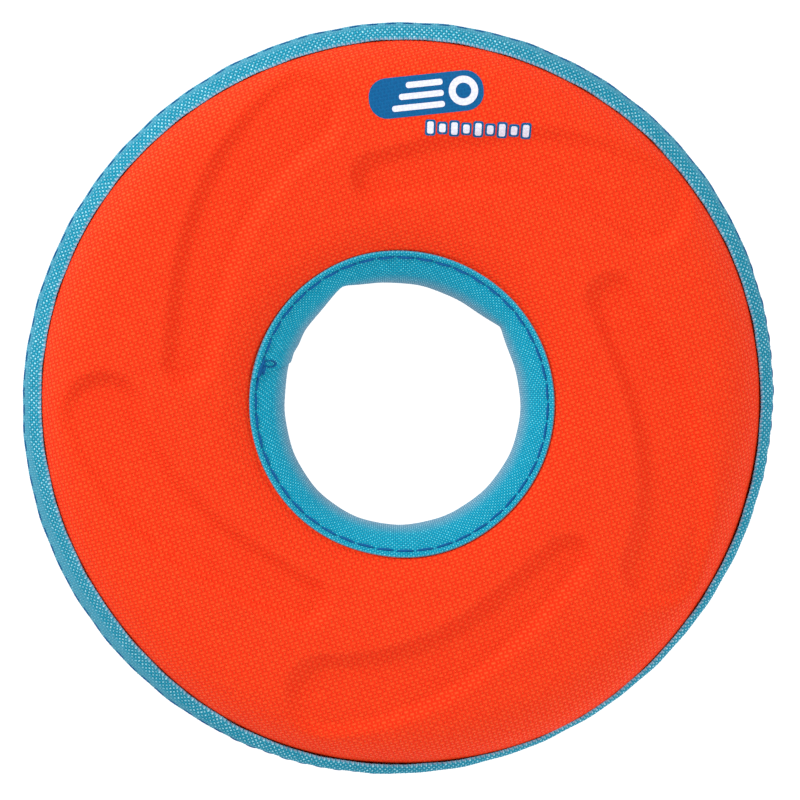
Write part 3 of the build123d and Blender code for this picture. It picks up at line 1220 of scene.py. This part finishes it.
@dataclass
class FoamCore:
    """The two moulded foam halves inside the covers."""

    covers: FabricCovers
    columns: int = 300
    rows: int = 44
    inset: float = 0.7 * MM

    def build(self, wardrobe: Wardrobe) -> list[bpy.types.Object]:
        """Makes both halves.

        Args:
            wardrobe: The finishes.

        Returns:
            The upper and lower half.
        """
        shape = self.covers.shape
        angle = angles_round(self.columns)
        line = self.covers.section(self.rows)
        line = line[line[:, 1] > self.inset + 0.6 * MM]
        radius = np.repeat(line[:, 0][None, :], self.columns, axis=0)
        outer = self.covers.grid(radius, self.inset, angle)
        first, last = outer[:, :1, :2], outer[:, -1:, :2]
        share = np.linspace(0, 1, 12)[None, :, None]
        plan = last * (1 - share) + first * share
        under = np.concatenate([plan, np.full((self.columns, 12, 1), 0.05 * MM)], axis=2)
        points = np.concatenate([outer, under], axis=1)
        count = points.shape[1] + 1
        uv = np.stack(
            np.meshgrid(np.arange(self.columns + 1.0), np.arange(float(count)), indexing="ij"), -1
        )
        made = []
        resting = flattened(points, shape.half_height - self.inset)
        for side, grid in (("top", points), ("bottom", turned_over(resting))):
            half = ring_mesh(f"foam_{side}", shape.settled(grid), uv)
            dressed(half, wardrobe.foam, f"{side}_foam_half")
            made.append(half)
        return made


# ---------------------------------------------------------------- bindings


@dataclass
class Binding:
    """A band of cloth wrapped round an edge, following a path in the section plane.

    The path runs up from the middle plane and is mirrored below it.
    """

    shape: RingShape
    path: np.ndarray = field(init=False, repr=False)
    run: np.ndarray = field(init=False, repr=False)
    normal: np.ndarray = field(init=False, repr=False)

    def set_path(self, points: Sequence[tuple[float, float]], outward: int) -> None:
        """Keeps the path, its lengths and its normals.

        Args:
            points: Its corner points from the middle plane up.
            outward: 1 if the left side of the path is the outside, else -1.
        """
        half = smooth_path(points, 0.02 * MM)
        mirrored = half[1:3][::-1] * np.array([1, -1])
        normal = normals_of(np.vstack([mirrored, half]))[2:] * outward
        self.path, self.run, self.normal = half, lengths(half), normal

    def along(self, s: np.ndarray, lift: np.ndarray) -> tuple[np.ndarray, np.ndarray]:
        """Radius and height on the path, or standing off it.

        Args:
            s: Distances along the path from the middle plane, negative below it.
            lift: How far the points stand out.

        Returns:
            Radii and heights.
        """
        size, sign = np.abs(s), np.where(s < 0, -1.0, 1.0)
        radius = np.interp(size, self.run, self.path[:, 0])
        height = np.interp(size, self.run, self.path[:, 1])
        nr = np.interp(size, self.run, self.normal[:, 0])
        nz = np.interp(size, self.run, self.normal[:, 1])
        return radius + lift * nr, (height + lift * nz) * sign

    def frame_at(self, angle: float, s: float, lift: float, turn: float = 0.0) -> Matrix:
        """Where a small piece lying on the band goes: X along the band, Z outwards.

        Args:
            angle: Angle round the ring, in radians.
            s: Distance along the path.
            lift: How far it stands off the cloth.
            turn: Turn about its Z axis, in radians.

        Returns:
            The placing matrix.
        """
        step = 0.15 * MM
        turns = np.array([angle, angle + step / 0.05, angle, angle - step / 0.05])
        steps = np.array([s, s, s + step, s])
        spots = self.surface(turns, steps, np.full(4, lift))
        x = Vector(spots[1] - spots[3]).normalized()
        y = Vector(spots[2] - spots[0]).normalized()
        z = x.cross(y).normalized()
        y = z.cross(x)
        outward = self.surface(turns[:1], steps[:1], np.array([lift + 0.2 * MM]))[0] - spots[0]
        if z.dot(Vector(outward)) < 0:
            z, y = -z, -y
        place = Matrix((x, y, z)).transposed().to_4x4()
        place.translation = Vector(spots[0])
        return place @ Matrix.Rotation(turn, 4, "Z")

    def form(self, angle: np.ndarray, s: np.ndarray) -> np.ndarray:
        """How far the cloth stands off its path; each kind of binding has its own form."""
        raise NotImplementedError

    def surface(self, angle: np.ndarray, s: np.ndarray, lift: np.ndarray) -> np.ndarray:
        """Points on the band as the ring lies.

        Args:
            angle: Angles round the ring.
            s: Distances along the path.
            lift: How far the points stand off the cloth.

        Returns:
            The points.
        """
        radius, height = self.along(s, lift + self.form(angle, s))
        points = np.stack([radius * np.cos(angle), radius * np.sin(angle), height], axis=-1)
        return self.shape.settled(points)


@dataclass
class RimBinding(Binding):
    """Woven tape folded round the rim. It has rolled up on one side and down on the other."""

    width: float = 11.4 * MM
    thickness: float = 0.55 * MM
    columns: int = 1884
    rows: int = 36
    back_rows: int = 8
    floats: int = 942
    row_pitch: float = 0.74 * MM
    float_depth: float = 0.09 * MM
    seam_height: float = 1.2 * MM
    showing: tuple[tuple[float, float], ...] = (
        (0, 2.85), (12, 3.15), (24, 3.1), (36, 4.0), (48, 3.5), (60, 3.9), (72, 3.75), (84, 3.4),
        (96, 3.35), (108, 3.9), (120, 3.65), (132, 3.55), (144, 3.3), (156, 3.45), (168, 3.45),
        (180, 3.8), (192, 4.2), (204, 4.4), (216, 4.8), (228, 4.15), (240, 3.3), (252, 2.6),
        (264, 2.2), (276, 2.05), (288, 1.15), (300, 0.75), (312, 1.25), (324, 1.7), (336, 1.9),
        (348, 2.25),
    )

    def __post_init__(self) -> None:
        """Lays the path round the fold and up the shoulder."""
        rim = self.shape.rim
        low = [(0, 0), (0.04, 0.5), (0.18, 1.0), (0.45, 1.5), (0.9, 2.05), (1.6, 2.75), (2.4, 3.45)]
        points = [(rim - inset * MM, up * MM) for inset, up in low]
        for inset in (3.4, 4.2, 5.0, 6.0, 7.5):
            radius = rim - inset * MM
            points.append((radius, float(self.shape.height(np.array(radius), 0.62 * MM))))
        self.set_path(points, -1)

    def top_edge(self, angle: np.ndarray) -> np.ndarray:
        """Distance along the path to the tape's upper free edge."""
        inset = round_table(angle, self.showing) * MM
        return np.interp(self.shape.rim - inset, self.path[::-1, 0], self.run[::-1])

    def seam(self, angle: np.ndarray, side: Side) -> np.ndarray:
        """Distance along the path to the seam, on either face."""
        roll = np.minimum(self.top_edge(angle) - self.width / 2, 0)
        upper = self.seam_height + 0.9 * roll
        return upper if side is Side.TOP else upper - 2 * self.seam_height

    def form(self, angle: np.ndarray, s: np.ndarray) -> np.ndarray:
        """How far the cloth stands off its path: puckers between stitches and a pulled-in seam."""
        wave = 0.5 + 0.5 * np.cos(angle * RIM_STITCHES)
        pull = np.zeros_like(s)
        for side in Side:
            near = np.exp(-(((s - self.seam(angle, side)) / (0.33 * MM)) ** 2))
            pull += near * (0.10 + 0.03 * wave) * MM
        sway = 0.05 * np.sin(angle * 31 + 1.3) + 0.05 * np.sin(angle * 53 + s / MM * 0.5)
        return sway * MM - pull

    def build(self, wardrobe: Wardrobe) -> bpy.types.Object:
        """Makes the tape.

        Args:
            wardrobe: The finishes.

        Returns:
            The tape.
        """
        angle = angles_round(self.columns)
        cells = angle / TURN * self.floats
        share = (1 - np.cos(np.linspace(0, np.pi, self.rows))) / 2 * 0.25
        share = share + np.linspace(0, 1, self.rows) * 0.75
        top = self.top_edge(angle)
        loops = 0.11 * MM * np.cos(cells * np.pi)
        across = share[None, :] * (self.width + loops[:, None])
        s = (top + loops)[:, None] - across
        turn = np.repeat(angle[:, None], self.rows, axis=1)
        cell_v = share * self.width / self.row_pitch
        parity = (np.floor(cells)[:, None] + np.floor(cell_v)[None, :]) % 2
        ridge = np.abs(np.sin(cells * np.pi + np.pi / 2))[:, None] * 0.5 + 0.5
        bumps = np.abs(np.sin(cell_v * np.pi))[None, :] ** 0.8 * ridge
        floats = self.float_depth * (bumps * (0.55 + 0.45 * parity) - 0.6)
        edge = np.minimum(across, self.width - across)
        rounding = np.clip(1 - edge / (0.45 * MM), 0, 1)
        drop = self.thickness * 0.92 * (1 - np.sqrt(1 - rounding**2))
        outer = self.surface(turn, s, floats - drop)
        back = np.linspace(1, 0, self.back_rows)
        back_s = (top + loops)[:, None] - back[None, :] * (self.width + loops[:, None])
        turn = np.repeat(angle[:, None], self.back_rows, axis=1)
        inner = self.surface(turn, back_s, np.full_like(back_s, -self.thickness))
        points = np.concatenate([outer, inner], axis=1)
        v = np.concatenate([cell_v, back * self.width / self.row_pitch, [0.0]])
        u = np.append(cells, float(self.floats))
        uv = np.stack(np.meshgrid(u, v, indexing="ij"), axis=-1)
        tape = ring_mesh("tape_rim", points, uv)
        dressed(tape, wardrobe.tape, "outer_binding")
        return tape


@dataclass
class HoleBinding(Binding):
    """Woven strip bound round the hand hole, with two buckles and a lapped end."""

    thickness: float = 0.42 * MM
    trim: float = 0.2 * MM
    columns: int = 760
    rows: int = 66
    back_rows: int = 14
    floats: int = 400
    row_pitch: float = 0.44 * MM
    float_depth: float = 0.06 * MM
    seam_inset: float = 1.5 * MM
    seam_start: float = 168.4
    lap_angle: float = 171.2
    lap_extent: float = 24.0
    lap_rise: float = 0.42 * MM
    lap_slant: float = 12.0
    buckles: tuple[tuple[float, float], ...] = (
        (35.5, 1.7 * MM), (116.5, 2.3 * MM), (156.0, 0.6 * MM),
    )
    trims: tuple[tuple[float, float], ...] = (
        (0, 0.18), (24, 0.33), (48, 0.4), (60, 0.44), (84, 0.04), (108, -0.55), (120, -0.33),
        (132, -0.3), (144, 0.0), (168, 0.27), (192, 0.55), (210, 0.7), (240, 0.45), (258, 0.6),
        (276, 0.05), (288, -0.1), (312, 0.26), (336, 0.1),
    )
    buckle_spread: float = 8.5
    half_width: float = field(init=False)

    def __post_init__(self) -> None:
        """Lays the path up the bulging wall and out over the cover."""
        shape = self.shape
        bulge = shape.cover_edge - shape.hole
        top = float(shape.height(np.array(shape.cover_edge), 0.5 * MM))
        radius = (bulge**2 + top**2) / (2 * bulge)
        turn = math.asin(top / radius)
        points = []
        for part in np.linspace(0, 0.9, 7):
            at = math.pi - part * turn
            points.append((shape.hole + radius + radius * math.cos(at), radius * math.sin(at)))
        for reach in (0.35 * MM, 1.1 * MM, 1.8 * MM, 2.3 * MM, 3.3 * MM, 4.3 * MM):
            at = shape.cover_edge + reach
            points.append((at, float(shape.height(np.array(at), 0.5 * MM))))
        self.set_path(points, 1)
        self.half_width = float(np.interp(shape.strip_edge - self.trim, self.path[:, 0], self.run))

    def edge_at(self, angle: np.ndarray) -> np.ndarray:
        """Distance along the path to the strip's free edge, which was not sewn quite round."""
        return self.half_width - round_table(angle, self.trims) * MM

    def lap_at(self, angle: np.ndarray) -> np.ndarray:
        """How far the lapped end lifts the strip."""
        behind = apart(angle, self.lap_angle)
        return self.lap_rise * eased((behind + self.lap_extent) / 16) * (behind < 0)

    def form(self, angle: np.ndarray, s: np.ndarray) -> np.ndarray:
        """How far the strip stands off its path: buckles, lap, puckers and its uneven swell."""
        height = np.interp(np.abs(s), self.run, self.path[:, 1])
        swell = np.cos(np.clip(height / (6.3 * MM), 0, 1) * np.pi / 2) ** 1.3
        turn = np.degrees(angle)
        hollow = 0.25 * np.cos(np.radians(turn + 45)) + 0.41 * np.cos(2 * np.radians(turn + 74.4))
        hollow = (hollow + 0.28 * np.cos(3 * np.radians(turn + 2.7)) - 0.34) * MM
        for place, depth in self.buckles:
            away = np.sqrt(apart(angle, place) ** 2 + 1.2**2) - 1.2
            hollow = hollow + depth * np.exp(-away / self.buckle_spread)
        off = -hollow * swell
        edge = np.exp(-(((np.abs(s) - self.edge_at(angle) + self.seam_inset) / (0.5 * MM)) ** 2))
        stitch = 0.5 + 0.5 * np.cos(np.radians(apart(angle, self.seam_start)) * HOLE_STITCHES)
        pull = edge * (0.05 + 0.13 * stitch) * MM
        sway = 0.05 * MM * np.sin(angle * 17 + s / MM * 0.35) * swell
        return off + self.lap_at(angle) - pull + sway

    def build(self, wardrobe: Wardrobe) -> bpy.types.Object:
        """Makes the strip.

        Args:
            wardrobe: The finishes.

        Returns:
            The strip.
        """
        cut = math.radians(self.lap_angle)
        angle = angles_round(self.columns)
        angle = np.sort(np.append(angle, [cut - 0.0012, cut - 0.0002, cut + 0.0002, cut + 0.0012]))
        share = np.linspace(0, 1, self.rows)
        width = 2 * self.half_width
        reach = self.edge_at(angle)[:, None]
        s = reach * (1 - 2 * share)[None, :]
        ragged = 0.004 * (np.sin(share * 91) + np.sin(share * 57 + 1)) * 0.5
        away = apart(angle, self.lap_angle)[:, None]
        slant = math.radians(self.lap_slant) * (1 - np.abs(1 - 2 * share))[None, :]
        turn = angle[:, None] + np.exp(-((away / 1.4) ** 2)) * ragged
        turn = turn - np.exp(-((away / 25) ** 2)) * slant
        cells = angle / TURN * self.floats
        cell_v = share * width / self.row_pitch
        parity = (np.floor(cells)[:, None] + np.floor(cell_v)[None, :]) % 2
        bumps = np.abs(np.sin(cell_v * np.pi))[None, :] * np.abs(np.sin(cells * np.pi))[:, None]
        floats = self.float_depth * bumps * (0.4 + 0.6 * parity)
        edge = reach - np.abs(s)
        rounding = np.clip(1 - edge / (0.35 * MM), 0, 1)
        drop = self.thickness * 0.9 * (1 - np.sqrt(1 - rounding**2))
        flat_turn = np.repeat(angle[:, None], self.rows, axis=1)
        lap_gap = self.lap_at(flat_turn) - self.lap_at(turn)
        outer = self.surface(turn, s, floats - drop + lap_gap)
        back = np.linspace(-self.half_width, self.half_width, self.back_rows)
        back_s = back[None, :] * reach / self.half_width
        flat_turn = np.repeat(angle[:, None], self.back_rows, axis=1)
        inner = self.surface(flat_turn, back_s, -self.thickness - self.lap_at(flat_turn))
        points = np.concatenate([outer, inner], axis=1)
        v = np.concatenate([cell_v, (self.half_width - back) / self.row_pitch, [0.0]])
        u = np.append(cells, float(self.floats))
        uv = np.stack(np.meshgrid(u, v, indexing="ij"), axis=-1)
        strip = ring_mesh("strip_hole", points, uv)
        dressed(strip, wardrobe.strip, "inner_binding")
        return strip


# ---------------------------------------------------------------- sewing


@dataclass
class ThreadDash:
    """One visible stitch: a short thread whose ends dive into the cloth."""

    length: float
    width: float = 0.5 * MM
    sides: int = 8
    stations: tuple[tuple[float, float, float], ...] = (
        (-0.5, 0.3, -0.3), (-0.37, 0.75, 0.0), (-0.14, 1.08, 0.13), (0.14, 1.08, 0.13),
        (0.37, 0.75, 0.0), (0.5, 0.3, -0.3),
    )

    def model(self, name: str) -> bpy.types.Object:
        """Extrudes the dash along X from a small disc.

        Args:
            name: Name of the new object.

        Returns:
            The dash, lying along X on the plane Z = 0.
        """
        radius = self.width / 2
        first = self.stations[0]
        bpy.ops.object.select_all(action="DESELECT")
        bpy.ops.mesh.primitive_circle_add(
            vertices=self.sides,
            radius=radius * first[1],
            fill_type="NGON",
            location=(first[0] * self.length, 0, first[2] * radius),
            rotation=(0, math.pi / 2, 0),
        )
        dash = bpy.context.active_object
        dash.name = name
        bpy.ops.object.transform_apply(location=True, rotation=True, scale=True)
        edit_all()
        last = first
        for station in self.stations[1:]:
            move = ((station[0] - last[0]) * self.length, 0, (station[2] - last[2]) * radius)
            bpy.ops.mesh.extrude_region_move(TRANSFORM_OT_translate={"value": move})
            grow = station[1] / last[1]
            middle = (station[0] * self.length, 0, station[2] * radius)
            bpy.ops.transform.resize(value=(grow, grow, grow), center_override=middle)
            last = station
        bpy.ops.mesh.select_all(action="SELECT")
        bpy.ops.mesh.normals_make_consistent(inside=False)
        bpy.ops.object.mode_set(mode="OBJECT")
        bpy.ops.object.shade_smooth()
        self.unwrap(dash)
        return dash

    def unwrap(self, dash: bpy.types.Object) -> None:
        """Gives the dash cloth coordinates: widths along it, and once round it."""
        mesh = dash.data
        layer = cloth_layer(mesh)
        for face in mesh.polygons:
            turns = []
            for index in face.loop_indices:
                spot = mesh.vertices[mesh.loops[index].vertex_index].co
                turns.append(math.atan2(spot.z, spot.y) / TURN % 1.0)
            wraps = max(turns) - min(turns) > 0.5
            for index, turn in zip(face.loop_indices, turns):
                spot = mesh.vertices[mesh.loops[index].vertex_index].co
                around = turn + 1 if wraps and turn < 0.5 else turn
                layer.data[index].uv = (spot.x / self.width, around)


@dataclass
class Seam:
    """A lockstitch seam through a binding, with its upper and lower thread."""

    binding: Binding
    count: int
    length: float
    width: float
    edge: str
    nodes: str

    def place(self, index: int, side: Side) -> Matrix:
        """Where one stitch goes; each seam has its own line."""
        raise NotImplementedError

    def build(self, wardrobe: Wardrobe) -> list[bpy.types.Object]:
        """Makes both rows of stitches.

        Args:
            wardrobe: The finishes.

        Returns:
            The upper and lower row.
        """
        dash = ThreadDash(self.length, self.width).model(f"{self.edge}_dash")
        made = []
        for side, kind in ((Side.TOP, "needle"), (Side.BOTTOM, "bobbin")):
            places = [self.place(index, side) for index in range(self.count)]
            row = copied(dash, places, f"{self.edge}_{kind}_thread")
            dressed(row, wardrobe.thread, f"{self.nodes}_{kind}_stitches")
            made.append(row)
        discard(dash)
        return made


@dataclass
class RimSeam(Seam):
    """The seam near the fold of the rim tape."""

    binding: RimBinding
    count: int = RIM_STITCHES
    length: float = 2.6 * MM
    width: float = 0.36 * MM
    edge: str = "rim"
    nodes: str = "outer"

    def place(self, index: int, side: Side) -> Matrix:
        """Where one stitch goes, on the line of the folded tape's seam."""
        angle = (index + 0.5) * TURN / self.count
        s = float(self.binding.seam(np.array([angle]), side)[0])
        return self.binding.frame_at(angle, s, 0.01 * MM, 0.03 * math.sin(index * 2.4))


@dataclass
class HoleSeam(Seam):
    """The seam just inside the strip's free edges."""

    binding: HoleBinding
    count: int = HOLE_STITCHES
    length: float = 3.85 * MM
    width: float = 0.56 * MM
    edge: str = "hole"
    nodes: str = "inner"

    def place(self, index: int, side: Side) -> Matrix:
        """Where one stitch goes, counted back from where the seam starts."""
        angle = math.radians(self.binding.seam_start) - (index + 0.5) * TURN / self.count
        s = (float(self.binding.edge_at(angle)) - self.binding.seam_inset) * side.value
        return self.binding.frame_at(angle, s, 0.08 * MM, 0.05 * math.sin(index * 1.7))


@dataclass
class LapBacktack:
    """Threads and a loose loop that lock the strip's cut end."""

    strip: HoleBinding
    places: tuple[tuple[float, float, float, float], ...] = (
        (167.0, 1.3, 4.0, 1.25), (167.3, 1.8, -5.0, 1.3),
        (166.8, 2.3, 8.0, 1.1), (169.0, 1.2, 0.0, 0.9),
    )
    loop_place: tuple[float, float, float] = (163.8, 3.2, 105.0)
    loop_size: tuple[float, float] = (1.4 * MM, 0.72 * MM)

    def spot(self, angle: float, s: float, lift: float, turn: float) -> Matrix:
        """Where one thread goes, with its angles in degrees."""
        return self.strip.frame_at(math.radians(angle), s, lift, math.radians(turn))

    def loop(self) -> bpy.types.Object:
        """Models the oval loop of thread."""
        bpy.ops.object.select_all(action="DESELECT")
        bpy.ops.mesh.primitive_torus_add(
            major_segments=28,
            minor_segments=8,
            major_radius=self.loop_size[0],
            minor_radius=0.27 * MM,
        )
        made = bpy.context.active_object
        made.name = "tack_loop"
        edit_all()
        squeeze = self.loop_size[1] / self.loop_size[0]
        bpy.ops.transform.resize(value=(1, squeeze, 1), center_override=(0, 0, 0))
        bpy.ops.object.mode_set(mode="OBJECT")
        bpy.ops.object.shade_smooth()
        mesh = made.data
        layer = cloth_layer(mesh)
        for face in mesh.polygons:
            for index in face.loop_indices:
                spot = mesh.vertices[mesh.loops[index].vertex_index].co
                turn = math.atan2(spot.y, spot.x) / TURN
                layer.data[index].uv = (turn * 14.0, spot.z / (0.5 * MM))
        return made

    def build(self, wardrobe: Wardrobe) -> bpy.types.Object:
        """Makes the back-tack.

        Args:
            wardrobe: The finishes.

        Returns:
            The joined threads.
        """
        pieces = []
        edge = float(self.strip.edge_at(math.radians(self.strip.seam_start)))
        for angle, inset, turn, size in self.places:
            dash = ThreadDash(2.2 * MM * size, 0.6 * MM).model("tack_thread")
            dash.data.transform(self.spot(angle, edge - inset * MM, 0.12 * MM, turn))
            pieces.append(dash)
        angle, inset, turn = self.loop_place
        loop = self.loop()
        loop.data.transform(self.spot(angle, edge - inset * MM, 0.15 * MM, turn))
        pieces.append(loop)
        tack = joined(pieces, "lap_tack_thread")
        dressed(tack, wardrobe.thread, "lap_backtack")
        return tack


# ---------------------------------------------------------------- print


@dataclass
class Plate:
    """A flat round-cornered shape, drawn at its place over the top face."""

    width: float
    height: float
    corner: float

    def model(self, name: str, place: Matrix, cuts: float) -> bpy.types.Object:
        """Makes the plate and cuts it into small facets so that it can follow the face.

        Args:
            name: Name of the new object.
            place: Where the plate's middle goes, and how it is turned.
            cuts: Spacing of the cuts.

        Returns:
            The plate.
        """
        bpy.ops.object.select_all(action="DESELECT")
        bpy.ops.mesh.primitive_plane_add(size=1.0)
        plate = bpy.context.active_object
        plate.name = name
        edit_all()
        bpy.ops.transform.resize(value=(self.width, self.height, 1), center_override=(0, 0, 0))
        bpy.ops.mesh.bevel(
            offset=self.corner,
            offset_type="OFFSET",
            segments=6,
            affect="VERTICES",
            clamp_overlap=True,
        )
        for extent, axis in ((self.width, 0), (self.height, 1)):
            count = max(int(extent / cuts), 1)
            for step in range(1, count):
                spot = [0.0, 0.0, 0.0]
                spot[axis] = extent * (step / count - 0.5)
                side = [0.0, 0.0, 0.0]
                side[axis] = 1.0
                bpy.ops.mesh.select_all(action="SELECT")
                bpy.ops.mesh.bisect(plane_co=spot, plane_no=side)
        bpy.ops.object.mode_set(mode="OBJECT")
        plate.data.transform(place)
        return plate


@dataclass
class Print:
    """The printed badge and the line of small marks under it, as thin films on the cover."""

    shape: RingShape
    cover: bpy.types.Object
    film: float = 0.10 * MM
    badge_angle: float = 85.3
    badge_inset: float = 15.6 * MM
    badge_tilt: float = 6.0
    badge: tuple[float, float] = (25.0 * MM, 8.8 * MM)
    ring_diameter: float = 6.4 * MM
    ring_width: float = 1.5 * MM
    bar_height: float = 1.3 * MM
    bar_gap: float = 1.1 * MM
    tag_angle: float = 74.2
    tag_inset: float = 21.0 * MM
    tag_tilt: float = -2.0
    tag_bars: int = 9
    tag_bar: tuple[float, float] = (1.4 * MM, 2.6 * MM)
    tag_pitch: float = 2.6 * MM
    tag_margin: float = 0.45 * MM

    def spot(self, angle: float, inset: float, tilt: float) -> Matrix:
        """Where a print shape's middle goes, high over the face."""
        radius = self.shape.rim - inset
        turn = math.radians(angle)
        place = Matrix.Translation((radius * math.cos(turn), radius * math.sin(turn), 0.03))
        return place @ Matrix.Rotation(math.radians(tilt), 4, "Z")

    def laid(self, film: bpy.types.Object, level: int) -> None:
        """Drops a film onto the cover and gives it its thickness.

        Args:
            film: The flat shape over the face.
            level: 0 for the ground, 1 for what is printed on it.
        """
        only(film)
        wrap = film.modifiers.new("lay", "SHRINKWRAP")
        wrap.target = self.cover
        wrap.wrap_method = "PROJECT"
        wrap.use_project_z = True
        wrap.use_negative_direction = True
        wrap.use_positive_direction = False
        wrap.wrap_mode = "ABOVE_SURFACE"
        wrap.offset = 0.05 * MM + level * self.film * 0.9
        bpy.ops.object.modifier_apply(modifier=wrap.name)
        thick = film.modifiers.new("film", "SOLIDIFY")
        thick.thickness = self.film
        thick.offset = -1.0
        bpy.ops.object.modifier_apply(modifier=thick.name)
        bpy.ops.object.shade_smooth_by_angle(angle=math.radians(40))

    def ring(self, place: Matrix) -> bpy.types.Object:
        """Models the badge's ring, a flat washer cut into facets."""
        outer = self.ring_diameter / 2
        bpy.ops.object.select_all(action="DESELECT")
        bpy.ops.mesh.primitive_circle_add(vertices=40, radius=outer, fill_type="NGON")
        made = bpy.context.active_object
        made.name = "badge_ring"
        edit_all()
        bpy.ops.mesh.inset(thickness=self.ring_width / 2, depth=0)
        bpy.ops.mesh.inset(thickness=self.ring_width / 2, depth=0)
        bpy.ops.mesh.delete(type="FACE")
        bpy.ops.object.mode_set(mode="OBJECT")
        made.data.transform(place)
        return made

    def build(self, wardrobe: Wardrobe) -> list[bpy.types.Object]:
        """Makes the four films.

        Args:
            wardrobe: The finishes.

        Returns:
            The films.
        """
        badge_at = self.spot(self.badge_angle, self.badge_inset, self.badge_tilt)
        tag_at = self.spot(self.tag_angle, self.tag_inset, self.tag_tilt)
        width, height = self.badge
        ground = Plate(width, height, height * 0.45).model("badge_ground_film", badge_at, 1.0 * MM)
        ring_x = width / 2 - height / 2
        marks = [self.ring(badge_at @ Matrix.Translation((ring_x, 0, 0)))]
        end = ring_x - self.ring_diameter / 2 - self.bar_gap
        for index in range(3):
            length = width * (0.46 - 0.07 * index)
            up = (index - 1) * (self.bar_height + self.bar_gap)
            bar = Plate(length, self.bar_height, self.bar_height * 0.45)
            at = badge_at @ Matrix.Translation((end - length / 2, up, 0))
            marks.append(bar.model("badge_bar", at, 0.7 * MM))
        mark = joined(marks, "badge_mark_film")
        grounds, bars = [], []
        for index in range(self.tag_bars):
            across = (index - (self.tag_bars - 1) / 2) * self.tag_pitch
            at = tag_at @ Matrix.Translation((across, 0, 0))
            tall = self.tag_bar[1] * (1.0 if index % 2 == 0 else 0.7)
            wide = self.tag_bar[0]
            margin = 2 * self.tag_margin
            back = Plate(wide + margin, tall + margin, wide * 0.4)
            grounds.append(back.model("tag", at, 0.6 * MM))
            bars.append(Plate(wide, tall, wide * 0.3).model("tag", at, 0.6 * MM))
        tag_ground = joined(grounds, "tag_ground_film")
        tag_mark = joined(bars, "tag_mark_film")
        films = [
            (ground, 0, wardrobe.blue_ink, Slot.BLUE_INK, "badge_ground"),
            (mark, 1, wardrobe.white_ink, Slot.WHITE_INK, "badge_mark"),
            (tag_ground, 0, wardrobe.blue_ink, Slot.BLUE_INK, "tag_ground"),
            (tag_mark, 1, wardrobe.white_ink, Slot.WHITE_INK, "tag_mark"),
        ]
        for film, level, material, slot, node in films:
            self.laid(film, level)
            dressed(film, material, node)
        return [row[0] for row in films]


# ---------------------------------------------------------------- studio


@dataclass
class Studio:
    """Pale floor, soft light and the camera."""

    height: float
    tilt: float = 4.0
    toward: float = 125.0
    distance: float = 0.9
    view_width: float = 0.1756
    aim: tuple[float, float] = (0.2 * MM, -0.05 * MM)

    def floor(self) -> None:
        """A plain white floor that glows enough to lose its shadows."""
        bpy.ops.object.select_all(action="DESELECT")
        bpy.ops.mesh.primitive_plane_add(size=6.0, location=(0, 0, -0.2 * MM))
        floor = bpy.context.active_object
        floor.name = "floor"
        material, _wire, shader = new_material("white_floor", (0.9, 0.9, 0.9))
        shader.inputs["Base Color"].default_value = (0.25, 0.25, 0.25, 1)
        shader.inputs["Roughness"].default_value = 1.0
        shader.inputs["Specular IOR Level"].default_value = 0.0
        shader.inputs["Emission Color"].default_value = (1, 1, 1, 1)
        shader.inputs["Emission Strength"].default_value = 0.95
        floor.data.materials.append(material)

    def light(self, name: str, place: Vector, size: float, power: float) -> None:
        """Adds one square soft light aimed at the ring."""
        lamp = bpy.data.lights.new(name, "AREA")
        lamp.shape, lamp.size, lamp.energy = "SQUARE", size, power
        made = bpy.data.objects.new(name, lamp)
        made.location = place
        made.rotation_euler = (-place).to_track_quat("-Z", "Y").to_euler()
        bpy.context.scene.collection.objects.link(made)

    def build(self) -> None:
        """Sets up the floor, the lights and the camera."""
        scene = bpy.context.scene
        self.floor()
        self.light("key", Vector((-0.50, 0.50, 0.40)), 0.40, 4.6)
        self.light("fill", Vector((0.75, -0.6, 0.5)), 0.7, 3.2)
        world = bpy.data.worlds.new("studio")
        world.use_nodes = True
        back = world.node_tree.nodes["Background"]
        back.inputs["Color"].default_value = (1, 1, 1, 1)
        back.inputs["Strength"].default_value = 0.87
        scene.world = world
        scene.view_settings.view_transform = "Standard"
        lens = bpy.data.cameras.new("camera")
        lens.sensor_width = 36.0
        lens.lens = 36.0 * self.distance / self.view_width
        lens.clip_start, lens.clip_end = 0.05, 10.0
        camera = bpy.data.objects.new("camera", lens)
        scene.collection.objects.link(camera)
        tilt, toward = math.radians(self.tilt), math.radians(self.toward)
        flat = math.sin(tilt)
        away = Vector((flat * math.cos(toward), flat * math.sin(toward), math.cos(tilt)))
        target = Vector((self.aim[0], self.aim[1], self.height / 2))
        right = Vector((0, 1, 0)).cross(away).normalized()
        axes = Matrix((right, away.cross(right), away)).transposed()
        camera.location = target + away * self.distance
        camera.rotation_euler = axes.to_euler()
        scene.camera = camera


def main() -> None:
    """Builds the ring piece by piece, then the studio."""
    logging.basicConfig(level=logging.INFO, format="%(name)s: %(message)s")
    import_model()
    shape = RingShape.from_frame()
    wardrobe = Wardrobe()
    covers = FabricCovers(shape, Swirls())
    top, _bottom = covers.build(wardrobe)
    FoamCore(covers).build(wardrobe)
    tape = RimBinding(shape)
    tape.build(wardrobe)
    strip = HoleBinding(shape)
    strip.build(wardrobe)
    RimSeam(tape).build(wardrobe)
    HoleSeam(strip).build(wardrobe)
    LapBacktack(strip).build(wardrobe)
    Print(shape, top).build(wardrobe)
    Studio(2 * shape.half_height).build()


if __name__ == "__main__":
    main()
